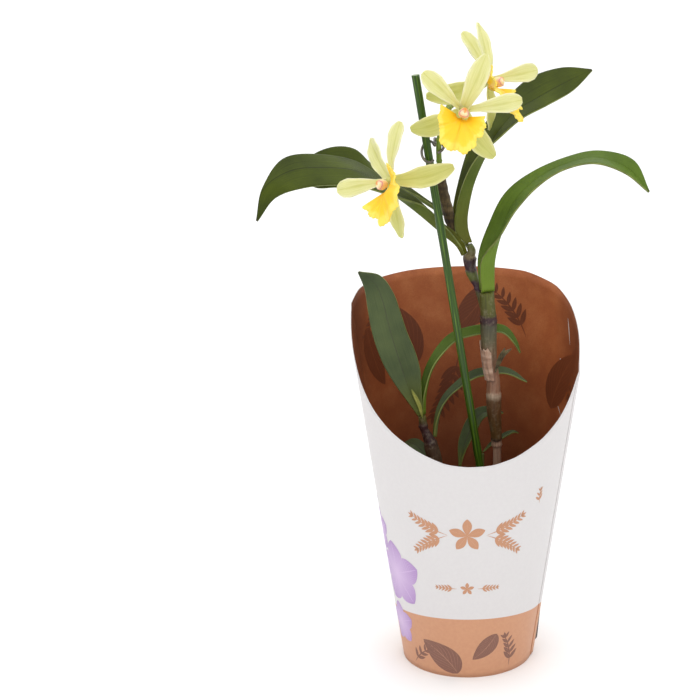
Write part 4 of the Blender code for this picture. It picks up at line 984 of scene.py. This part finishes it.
low_inner = blade(
    "low_inner_leaf",
    [
        (-5.1, 10, 138), (-2.3, 13, 152), (3.4, 16, 165.4), (9.1, 18, 173.7), (17.6, 20, 175.7),
        (25.5, 22, 173.9),
    ],
    BROAD_LEAF, 12, [(-0.6, -1, 0.3), (-0.3, -1, 0.7), (0.2, -0.5, 1)], (40, 20), *low_skins,
)
dress(low_inner, "leaf_shaded", "leaf_low_inner")
low_right = blade(
    "low_right_leaf",
    [(11, 20.4, 144.6), (17, 23.2, 149.6), (24.9, 26, 154.3), (32.1, 28, 157.4), (36.8, 30, 156)],
    BROAD_LEAF, 4.5, [(-0.4, -0.8, 1), (0, -0.6, 1)], (35, 20), *low_skins, rows=40,
)
dress(low_right, "leaf_shaded", "leaf_low_right")
low_left = blade(
    "low_left_leaf",
    [(-25.2, 18.3, 134.8), (-30.2, 22, 142), (-37.4, 26, 148.4), (-44.4, 30, 149)],
    BROAD_LEAF, 11, [(0.3, -0.9, 0.6), (0, -0.8, 0.8)], (30, 10), *low_skins, rows=40,
)
dress(low_left, "leaf_shaded", "leaf_low_left")

# Young bract: still soft, pale yellow-green and hardly veined
young_green = leaf_skin("young_bract_skin", "#8E9440", "#B2B064", "#7C8438", "#6A7430", 0.5, 0.1)
spear = blade(
    "young_spear",
    [(-31.2, -7.3, 179.6), (-33.6, -8.2, 190.6), (-38.6, -9.2, 201.7)],
    BROAD_LEAF, 3.4, [(0.3, -1, 0.1), (0, -1, 0.1)], (30, 30), young_green, young_green, leaf_margin,
    thickness=0.7, rows=36,
)
dress(spear, "bract_pale", "young_bract")


# Dry sheaths and bracts: papery skins left on the stems. One wraps the foot of the flower stem, one peels
# from the main cane with a torn top, and a forked one stands on the cane's front.
SHEATH_ROWS, SHEATH_THICK = 48, 0.5
PEEL_FOOT, PEEL_TOP = 205, 233
PEEL_FROM, PEEL_TURN = 130, 150  # degrees round the cane
FORK_THICK = 0.6


def papery(name, stops):
    """Dry plant paper: thin fibrous skin with darker bands, matt, wrinkled along its fibres."""
    made, tree, shader = surface(name, Roughness=0.72, IOR=1.4, Sheen_Weight=0.15)
    place = add(tree, "TexCoord").outputs["Object"]
    stretched = add(tree, "Mapping", {"Vector": place, "Scale": (every(1.1), every(1.1), every(17))})
    fibres = add(tree, "TexNoise", {"Vector": stretched, "Scale": 1.0, "Detail": 5.0, "Roughness": 0.65})
    flattened = add(tree, "Mapping", {"Vector": place, "Scale": (every(14), every(14), every(4.2))})
    rings = add(tree, "TexNoise", {"Vector": flattened, "Scale": 1.0, "Detail": 3.0})
    mixed = add(tree, "Math", {0: fibres, 1: 0.6, 2: rings}, operation="MULTIPLY_ADD")
    part = add(tree, "MapRange", {"Value": mixed, "From Min": 0.55, "From Max": 1.1})
    tone = add(tree, "ValToRGB", {"Fac": part}, stops=stops)
    wrinkle = add(tree, "Bump", {"Height": fibres, "Strength": 0.7, "Distance": 0.0006})
    feed(tree, shader, {"Base Color": tone, "Normal": wrinkle})
    return made


# Dead sheath and bract paper, from nearly black in its folds to straw on its ribs
browns = [(0, "#241A12"), (0.4, "#463618"), (0.7, "#665434"), (1, "#8A7A58")]
pinks = [(0, "#6E5244"), (0.4, "#A27E68"), (0.75, "#BFA08A"), (1, "#DCC8B4")]
sheath_brown = papery("brown_flower_sheath", browns)
sheath_pink = papery("torn_dry_sheath", pinks)
bract_olive = papery("olive_dry_bract", [(0, "#2A2414"), (0.5, "#4A4026"), (1, "#6E6240")])

SHEATH_ROUTE = [
    (-2.0, 11.8, 304.4, 0.8), (-4.6, 12.1, 305.8, 1.3), (-7.2, 12.4, 308, 2.0), (-9.6, 12.4, 312, 2.7),
    (-11.4, 12, 317, 3.2), (-13.8, 10.3, 327, 3.4), (-16.4, 7, 338, 3.2), (-18.0, 3, 350, 2.8),
]
sheath_places = along(SHEATH_ROUTE, SHEATH_ROWS + 1)


def sheath_wrap(share, across):
    """A point on the flower sheath, which follows its route and has a slanting mouth."""
    index = round(share * SHEATH_ROWS)
    here = sheath_places[index]
    ahead, behind = sheath_places[min(index + 1, SHEATH_ROWS)], sheath_places[max(index - 1, 0)]
    run = unit(ahead[:3] - behind[:3])
    side = unit(np.cross(run, (0, -1.0, 0)))
    front = np.cross(side, run)
    turn = math.pi * across
    mouth = 1.6 * share**6 * math.sin(turn + 0.6)
    radius = here[3] * (1 + 0.05 * math.sin(5 * turn + 9 * share)) + 0.15 * math.sin(40 * share)
    return here[:3] + run * mouth + radius * (side * math.cos(turn) - front * math.sin(turn))


flower_sheath = grid("papery_flower_sheath", SHEATH_ROWS, 32, sheath_wrap, sheath_brown, closed=True)
dress(thicken(flower_sheath, SHEATH_THICK, -1), "cane_skin", "flower_sheath")


def peel(share, across):
    """A point on the torn sheath: it follows the main cane's axis and stands off it towards its top."""
    turn = math.radians(PEEL_FROM + PEEL_TURN * share)
    torn = PEEL_TOP - 7 * share + 1.6 * math.sin(9 * share) + 0.8 * math.sin(31 * share)
    height = PEEL_FOOT + (torn - PEEL_FOOT) * (across + 1) / 2
    x = np.interp(height, [206, 217, 231], [18.0, 16.2, 15.2])
    radius = np.interp(height, [205, 217, 231], [5.4, 5.6, 6.3])
    radius += 0.25 * math.sin(26 * share + 0.2 * height)
    return (x + radius * math.cos(turn), 4 + radius * math.sin(turn), height)


torn_sheath = grid("torn_sheath", 60, 24, peel, sheath_pink)
dress(thicken(torn_sheath, SHEATH_THICK), "dry_sheath", "dry_sheath")

fork = []
for route, width in (
    ([(19.5, -0.8, 211.5), (21.2, -1.7, 217), (24.6, -2.6, 224.6), (30.7, -3, 229.6)], 3.4),
    ([(19.6, -0.9, 212), (21.4, -1.8, 218), (23.4, -2.5, 224), (26.2, -3, 229.9)], 3.2),
):
    fork.append(
        blade(
            "arm", route, BROAD_LEAF, width, [(0.4, -1, 0.2), (0, -1, 0.2)], (20, 20),
            bract_olive, bract_olive, bract_olive, thickness=FORK_THICK, rows=36,
        )
    )
dress(joined("forked_bract", fork), "dry_sheath", "dry_bract")


# Blooms: three, each facing its own way on a stalk of one flower stem. A flower is three sepals and two
# petals round its heart, a frilled lip below the column, and the column itself.
HEART_R = 3.2
TEPAL_THICK = 0.8
DORSAL_LENGTH, PETAL_LENGTH, LATERAL_LENGTH = 42.0, 40.0, 43.0
DORSAL_WIDTH, PETAL_WIDTH, LATERAL_WIDTH = 14.7, 13.2, 15.0
TEPAL_START = 1.2  # how far from the middle of the heart a tepal starts
RIPPLE = (0.45, 2.6)  # height and number of the waves in a tepal's edges
TEPAL_VEINS = (3.0, 34.0, 1.0)  # along and across a tepal: one to 13 mm and one to 0.4 mm
# Heart, the way the flower looks, each tepal's angle and backward lean, and the lip's roll, nod,
# swing, size and shift to the right and up
BLOOMS = {
    "bloom_1": {
        "heart": (-50.6, -38.0, 357.3), "yaw": 45, "pitch": 3, "roll": 53,
        "dorsal": (95, 17), "petal_left": (144, -23), "petal_right": (31, 5),
        "lateral_left": (213, 18), "lateral_right": (327, 40), "lip": (-6, 10, 7, 1.02, -1.6, 1.2),
    },
    "bloom_2": {
        "heart": (-2.9, -30.0, 403.0), "yaw": -8, "pitch": 5, "roll": -18,
        "dorsal": (87, -17), "petal_left": (154, -17), "petal_right": (26, 0),
        "lateral_left": (223, 35), "lateral_right": (322, 19), "lip": (2, -1, -4.8, 0.89, 0.45, 0.3),
    },
    "bloom_3": {
        "heart": (13.7, 14.0, 414.4), "yaw": -56, "pitch": 11, "roll": -27,
        "dorsal": (97, 14), "petal_left": (145, 2), "petal_right": (27, -26),
        "lateral_left": (214, 48), "lateral_right": (325, 23), "lip": (14, 2, -1, 1.02, 0.2, 0.2),
    },
}
DORSAL = [(0, 0.46), (0.25, 0.72), (0.5, 0.96), (0.64, 1), (0.82, 0.82), (0.93, 0.50), (1, 0.14)]
PETAL = [(0, 0.28), (0.25, 0.42), (0.5, 0.78), (0.72, 1), (0.88, 0.86), (0.96, 0.56), (1, 0.22)]
LATERAL = [(0, 0.40), (0.2, 0.66), (0.45, 1), (0.65, 0.98), (0.85, 0.68), (0.96, 0.40), (1, 0.20)]


def petal_skin(name, middle, body, edge):
    """Waxy petal: greener midrib, creamy edge, fine veins and a crystalline sparkle."""
    made, tree, shader = surface(
        name, Roughness=0.46, IOR=1.42, Subsurface_Weight=0.22, Subsurface_Scale=0.004, Coat_Weight=0.06
    )
    feed(tree, shader, {"Subsurface Radius": (1.0, 0.9, 0.35)})
    coords = add(tree, "TexCoord")
    place, uv = coords.outputs["Object"], add(tree, "SeparateXYZ", {"Vector": coords.outputs["UV"]})
    drift = add(tree, "TexNoise", {"Vector": place, "Scale": every(11), "Detail": 4.0})
    spread = {0: drift, 1: 0.16, 2: from_midrib(tree, uv)}
    spread = add(tree, "Math", spread, operation="MULTIPLY_ADD")
    stops = [(0.04, middle), (0.2, body), (0.42, body), (0.58, edge)]
    tone = add(tree, "ValToRGB", {"Fac": spread}, stops=stops)
    stretched = add(tree, "Mapping", {"Vector": coords.outputs["UV"], "Scale": TEPAL_VEINS})
    veins = add(tree, "TexNoise", {"Vector": stretched, "Scale": 1.0, "Detail": 3.0})
    shade = add(tree, "ValToRGB", {"Fac": veins}, stops=[(0.35, "#DFE0B4"), (0.6, "#FFFFFF")])
    darker = {"Factor": 0.55, "A": tone, "B": shade}
    veined = add(tree, "Mix", darker, data_type="RGBA", blend_type="MULTIPLY")
    root = {"Value": uv.outputs["X"], "From Max": 0.25, "To Min": 0.6, "To Max": 0.0}
    root = add(tree, "MapRange", root)
    based = add(tree, "Mix", {"Factor": root, "A": veined, "B": middle}, data_type="RGBA")
    sparkle = add(tree, "TexNoise", {"Vector": place, "Scale": every(0.62), "Detail": 2.0})
    relief = add(tree, "Math", {0: sparkle, 1: 0.3, 2: veins}, operation="MULTIPLY_ADD")
    skin = add(tree, "Bump", {"Height": relief, "Strength": 0.3, "Distance": 0.0005})
    feed(tree, shader, {"Base Color": based, "Normal": skin})
    return made


# Petals and upper sepal: pale cream-green. Lower sepals: greener, as they open behind the others
petal_cream = petal_skin("pale_yellow_green_petal", "#D3D283", "#E2E0A0", "#F0EDC4")
sepal_green = petal_skin("greener_lateral_sepal", "#C4C66C", "#D0D080", "#E6E3AA")


def flower_frame(bloom):
    """The matrix to the plant's axes from a flower's: X its right, -Y the way it looks, Z its top, in mm."""
    turn = Matrix.Rotation(-math.radians(bloom["yaw"]), 4, "Z")
    nod = Matrix.Rotation(-math.radians(bloom["pitch"]), 4, "X")
    roll = Matrix.Rotation(-math.radians(bloom["roll"]), 4, "Y")
    return Matrix.Translation(Vector(bloom["heart"])) @ turn @ nod @ roll


def placed(piece, matrix):
    """The piece moved by a matrix in mm, kept in its mesh."""
    scaled = matrix.copy()
    scaled.translation = matrix.translation * MM
    piece.data.transform(scaled)
    return piece


def tepal(bloom, part, length, width, outline, bow, sickle, skin):
    """A petal or sepal that leaves the flower's heart at an angle, leaning back."""
    angle, lean = bloom[part]
    turn, back = math.radians(angle), math.radians(lean)
    way = np.array([math.cos(turn), 0, math.sin(turn)])
    sideways = np.array([-math.sin(turn), 0, math.cos(turn)])
    rear = np.array([0, 1.0, 0])
    spine = []
    for share in np.linspace(0, 1, 6):
        run = TEPAL_START + (length - TEPAL_START) * share
        arch = 4 * share * (1 - share)
        middle = way * math.cos(back) + rear * math.sin(back)
        spine.append(middle * run - rear * bow * arch + sideways * sickle * arch)
    face = way * math.sin(back) - rear * math.cos(back)
    made = blade(
        part, spine, outline, width, [face, face], (24, 8), skin, skin, skin,
        thickness=TEPAL_THICK, rows=56, columns=20, wave=RIPPLE,
    )
    return placed(made, flower_frame(bloom))


def ball_turns(share, across):
    """The two angles of a point on a ball, with its poles left a hair open."""
    return math.pi * (0.001 + 0.998 * share), -math.pi * across


def heart_ball(share, across):
    """A point on the small ball that the tepals grow from."""
    up, turn = ball_turns(share, across)
    flat = HEART_R * math.sin(up)
    return (flat * math.cos(turn), flat * math.sin(turn), -HEART_R * math.cos(up))


for name, bloom in BLOOMS.items():
    pieces = [placed(grid("heart", 12, 16, heart_ball, sepal_green, closed=True), flower_frame(bloom))]
    for part, length, width, outline, bow, sickle in (
        ("dorsal", DORSAL_LENGTH, DORSAL_WIDTH, DORSAL, 1.5, 0.0),
        ("petal_left", PETAL_LENGTH, PETAL_WIDTH, PETAL, 2.2, 0.0),
        ("petal_right", PETAL_LENGTH, PETAL_WIDTH, PETAL, 2.2, 0.0),
    ):
        pieces.append(tepal(bloom, part, length, width, outline, bow, sickle, petal_cream))
    crown = joined(name + "_petals", pieces[1:])
    laterals = [pieces[0]]
    for part, sickle in (("lateral_left", 2.6), ("lateral_right", -2.6)):
        made = tepal(bloom, part, LATERAL_LENGTH, LATERAL_WIDTH, LATERAL, 1.5, sickle, sepal_green)
        laterals.append(made)
    dress(crown, "tepal", name + "_tepals")
    dress(joined(name + "_laterals", laterals), "tepal", name + "_tepals")


# Lip: one broad frilled petal under the column, golden yellow. It steps forward below its throat, is
# creased between its lobes, and its thin rim is ruffled and crinkled.
LIP_THICK = 0.7
LIP_FOOT_DROP = 5.8
THROAT_R = 6.4
STEP_FORWARD, STEP_SPREAD = 13.0, 2.6
# Radius of its outline about the foot of the column, in the flower's face (degrees, mm)
LIP_OUTLINE = [
    (-196, 18.6), (-183, 18.0), (-170, 18.0), (-155, 18.4), (-143, 17.2), (-134, 20.0), (-120, 22.8),
    (-104, 24.6), (-92, 22.8), (-84, 22.6), (-70, 24.2), (-56, 22.4), (-44, 20.6), (-36, 17.4),
    (-24, 18.2), (-10, 18.2), (4, 17.4), (16, 16.8), (26, 17.0),
]
LOBE_CREASES, MIDDLE_FURROW = (-38, -142), -90  # degrees
LIP_VEINS = (46.0, 2.2, 1.0)  # round the lip and out to its rim: one to 1.7 mm and one to 7.5 mm

# Fresh lip tissue: thin, translucent and waxy, deeper in the throat and paler at the rim
lip_gold, tree, shader = surface(
    "crystalline_yellow_lip", Roughness=0.42, IOR=1.42, Subsurface_Weight=0.2, Subsurface_Scale=0.003
)
feed(tree, shader, {"Subsurface Radius": (1.0, 0.7, 0.1)})
coords = add(tree, "TexCoord")
place, uv = coords.outputs["Object"], add(tree, "SeparateXYZ", {"Vector": coords.outputs["UV"]})
drift = add(tree, "TexNoise", {"Vector": place, "Scale": every(5.6), "Detail": 4.0})
outward = add(tree, "Math", {0: drift, 1: 0.3, 2: uv.outputs["Y"]}, operation="MULTIPLY_ADD")
yellows = [(0.1, "#F6B010"), (0.3, "#FBC010"), (0.6, "#FDCA14"), (0.9, "#FDD22C"), (1.0, "#FEE05C")]
tone = add(tree, "ValToRGB", {"Fac": outward}, stops=yellows)
stretched = add(tree, "Mapping", {"Vector": coords.outputs["UV"], "Scale": LIP_VEINS})
veins = add(tree, "TexNoise", {"Vector": stretched, "Scale": 1.0, "Detail": 4.0, "Roughness": 0.6})
shade = add(tree, "ValToRGB", {"Fac": veins}, stops=[(0.32, "#F6C85A"), (0.55, "#FFFFFF")])
darker = {"Factor": 0.14, "A": tone, "B": shade}
veined = add(tree, "Mix", darker, data_type="RGBA", blend_type="MULTIPLY")
# Deeper yellow down the furrow in its middle
middle = add(tree, "Math", {0: uv.outputs["X"], 1: 0.47}, operation="SUBTRACT")
middle = add(tree, "Math", {0: middle}, operation="ABSOLUTE")
middle = add(tree, "MapRange", {"Value": middle, "From Max": 0.045, "To Min": 0.4, "To Max": 0.0})
creased = add(tree, "Mix", {"Factor": middle, "A": veined, "B": "#F2AC08"}, data_type="RGBA")
sparkle = add(tree, "TexNoise", {"Vector": place, "Scale": every(0.67), "Detail": 2.0})
relief = add(tree, "Math", {0: sparkle, 1: 0.5, 2: drift}, operation="MULTIPLY_ADD")
skin = add(tree, "Bump", {"Height": relief, "Strength": 0.25, "Distance": 0.0006})
feed(tree, shader, {"Base Color": creased, "Normal": skin})


def lip_frame(bloom, size):
    """The matrix from the lip's and the column's own axes to the plant's, in mm."""
    roll, nod, swing, _, right, up = bloom["lip"]
    foot = Matrix.Translation(Vector((0, -1.0, -3.0)))
    shift = Matrix.Translation(Vector((right, 0, up)))
    turn = Matrix.Rotation(math.radians(roll), 4, "Y") @ Matrix.Rotation(math.radians(nod), 4, "X")
    turn = turn @ Matrix.Rotation(math.radians(swing), 4, "Z") @ Matrix.Scale(size, 4)
    return flower_frame(bloom) @ shift @ foot @ turn @ foot.inverted()


def lip_place(share, across):
    """A point on the lip: round its fan by share, from the throat (across -1) to the rim (across 1)."""
    first, last = LIP_OUTLINE[0][0], LIP_OUTLINE[-1][0]
    angle = first + (last - first) * share
    turn = math.radians(angle)
    down = max(0.0, 0.5 - 0.5 * math.sin(turn))
    throat = THROAT_R - 9.0 * down**2
    out = (across + 1) / 2
    frill = 1.0 * math.sin(2 * math.pi * 7 * share) * out**3
    crinkle = 0.35 * math.sin(2 * math.pi * 23 * share + 5 * out) * out**5
    rim = read_smooth(LIP_OUTLINE, angle) + 0.6 * math.sin(2 * math.pi * 9 * share + 1)
    rim += 0.25 * math.sin(2 * math.pi * 31 * share)
    radius = throat + (rim - throat) * out
    drop = max(0.0, radius * down - 0.6)
    step = STEP_FORWARD * down * (1 - math.exp(-drop / STEP_SPREAD))
    crease = sum(math.exp(-(((angle - at) / 9) ** 2)) for at in LOBE_CREASES)
    furrow = math.exp(-(((angle - MIDDLE_FURROW) / 6) ** 2)) * math.sin(math.pi * min(1.0, 1.2 * out))
    forward = 2.2 + step + 0.6 * (radius - throat) + frill + crinkle - 2.0 * crease * out - 1.1 * furrow
    return (radius * math.cos(turn), -forward, radius * math.sin(turn) - LIP_FOOT_DROP)


for name, bloom in BLOOMS.items():
    lip = grid(name + "_frilled_lip", 200, 30, lip_place, lip_gold)
    placed(lip, lip_frame(bloom, bloom["lip"][3]))
    dress(thicken(lip, LIP_THICK), "lip", name + "_lip")


# Column: the short club of fused flower parts above the lip, grown from the heart of the bloom. It is
# hollow underneath and hooded over the anther cap at its tip.
COLUMN_HALF = (3.4, 5.0, 3.7)  # half sizes across, along and up
COLUMN_PLACE = (-8.4, -1.4)  # its middle, forward of the heart and down from it
HOOD_RISE = 0.35

# Waxy column tissue: cream, pink-magenta round the anther cap and orange underneath
column_wax, tree, shader = surface(
    "waxy_cream_column", Roughness=0.38, IOR=1.42, Subsurface_Weight=0.2, Subsurface_Scale=0.002
)
coords = add(tree, "TexCoord")
place, uv = coords.outputs["Object"], add(tree, "SeparateXYZ", {"Vector": coords.outputs["UV"]})
drift = add(tree, "TexNoise", {"Vector": place, "Scale": every(2.4), "Detail": 3.0})
ahead = add(tree, "Math", {0: drift, 1: 0.12, 2: uv.outputs["X"]}, operation="MULTIPLY_ADD")
creams = [
    (0.3, "#EDE6B4"), (0.64, "#F2DFB0"), (0.785, "#EECBA8"), (0.82, "#CF7C92"), (0.85, "#F2D6B0"),
    (1.0, "#F8EEC4"),
]
tone = add(tree, "ValToRGB", {"Fac": ahead}, stops=creams)
# Orange along its underside
low = add(tree, "Math", {0: uv.outputs["Y"], 1: 0.25}, operation="SUBTRACT")
low = add(tree, "Math", {0: low}, operation="ABSOLUTE")
low = add(tree, "MapRange", {"Value": low, "From Max": 0.2, "To Min": 1.0, "To Max": 0.0})
gilded = add(tree, "Mix", {"Factor": low, "A": tone, "B": "#E8912A"}, data_type="RGBA")
fine = add(tree, "Bump", {"Height": drift, "Strength": 0.25, "Distance": 0.0004})
feed(tree, shader, {"Base Color": gilded, "Normal": fine})


def column_place(share, across):
    """A point on the column, from its back to the anther cap, across -0.5 being its underside."""
    up, turn = ball_turns(share, across)
    x, y, z = math.sin(up) * math.cos(turn), math.cos(up), math.sin(up) * math.sin(turn)
    wide = (1.0 - 0.28 * z) * (1.0 - 0.22 * y)
    hood = HOOD_RISE * math.exp(-(((share - 0.72) / 0.05) ** 2))
    hollow = 1.1 * max(0.0, -z) ** 2 * max(0.0, -y) * math.exp(-((x / 0.45) ** 2))
    half_x, half_y, half_z = COLUMN_HALF
    forward, middle = COLUMN_PLACE
    return (
        (half_x + hood) * x * wide,
        forward + half_y * y + 0.4 * hollow,
        middle + (half_z + hood) * z + hollow,
    )


for name, bloom in BLOOMS.items():
    column = grid(name + "_waxy_column", 40, 40, column_place, column_wax, closed=True)
    dress(placed(column, lip_frame(bloom, 1.0)), "column", name + "_column")


# Flower stem: one fleshy stem that leaves its sheath, is held by the clip, and carries a paler, thinner
# stalk to the back of each bloom.
STEM_ROUTE = [
    (-9.4, 12.6, 311.6, 1.2), (-11.2, 12.1, 316.5, 1.5), (-13.8, 10.3, 327, 1.6), (-16.4, 7, 338, 1.8),
    (-18.0, 3, 350, 1.85), (-19.0, 0.4, 362, 1.85), (-19.2, -0.4, 372, 1.9), (-18.2, -0.8, 381, 2.0),
]
STALK_END_R, STALK_SINK = 1.6, 0.4  # radius at the flower, and how far it sinks into the heart
STALKS = {
    "bloom_1": [
        (-18.8, 1, 358.5, 1.3), (-16.5, -7, 358, 1.2), (-19.5, -18, 355, 1.2), (-30, -24, 354, 1.3),
        (-40, -28.5, 355.4, 1.5),
    ],
    "bloom_2": [(-18.6, 0, 377, 1.6), (-15.0, -4, 390, 1.4), (-11.5, -9, 400, 1.4), (-6.5, -17, 404.5, 1.5)],
    "bloom_3": [(-18.6, 0, 377, 1.6), (-16.5, 8, 389, 1.4), (-10, 18, 401, 1.4), (-1, 22, 409.5, 1.5)],
}
# Fresh stem: smooth and satin, dark green in the sheath and pale towards the flowers
greens = [(0, "#4E5C1E"), (0.45, "#6C8A22"), (0.62, "#92B03C"), (1, "#B4C46E")]
stem_green = stem_skin("green_flower_stem", 306, 420, greens, 0.42, 0.1)
stems = [tube("stem", STEM_ROUTE, 90, 20, stem_green, rings=(362, 376))]
for name, stalk in STALKS.items():
    end = flower_frame(BLOOMS[name]) @ Vector((0, HEART_R - STALK_SINK, 0))
    stems.append(tube("stalk", [*stalk, (*end, STALK_END_R)], 60, 16, stem_green))
dress(joined("flower_stem_and_stalks", stems), "stem_green", "flower_stem")


bpy.context.view_layer.update()
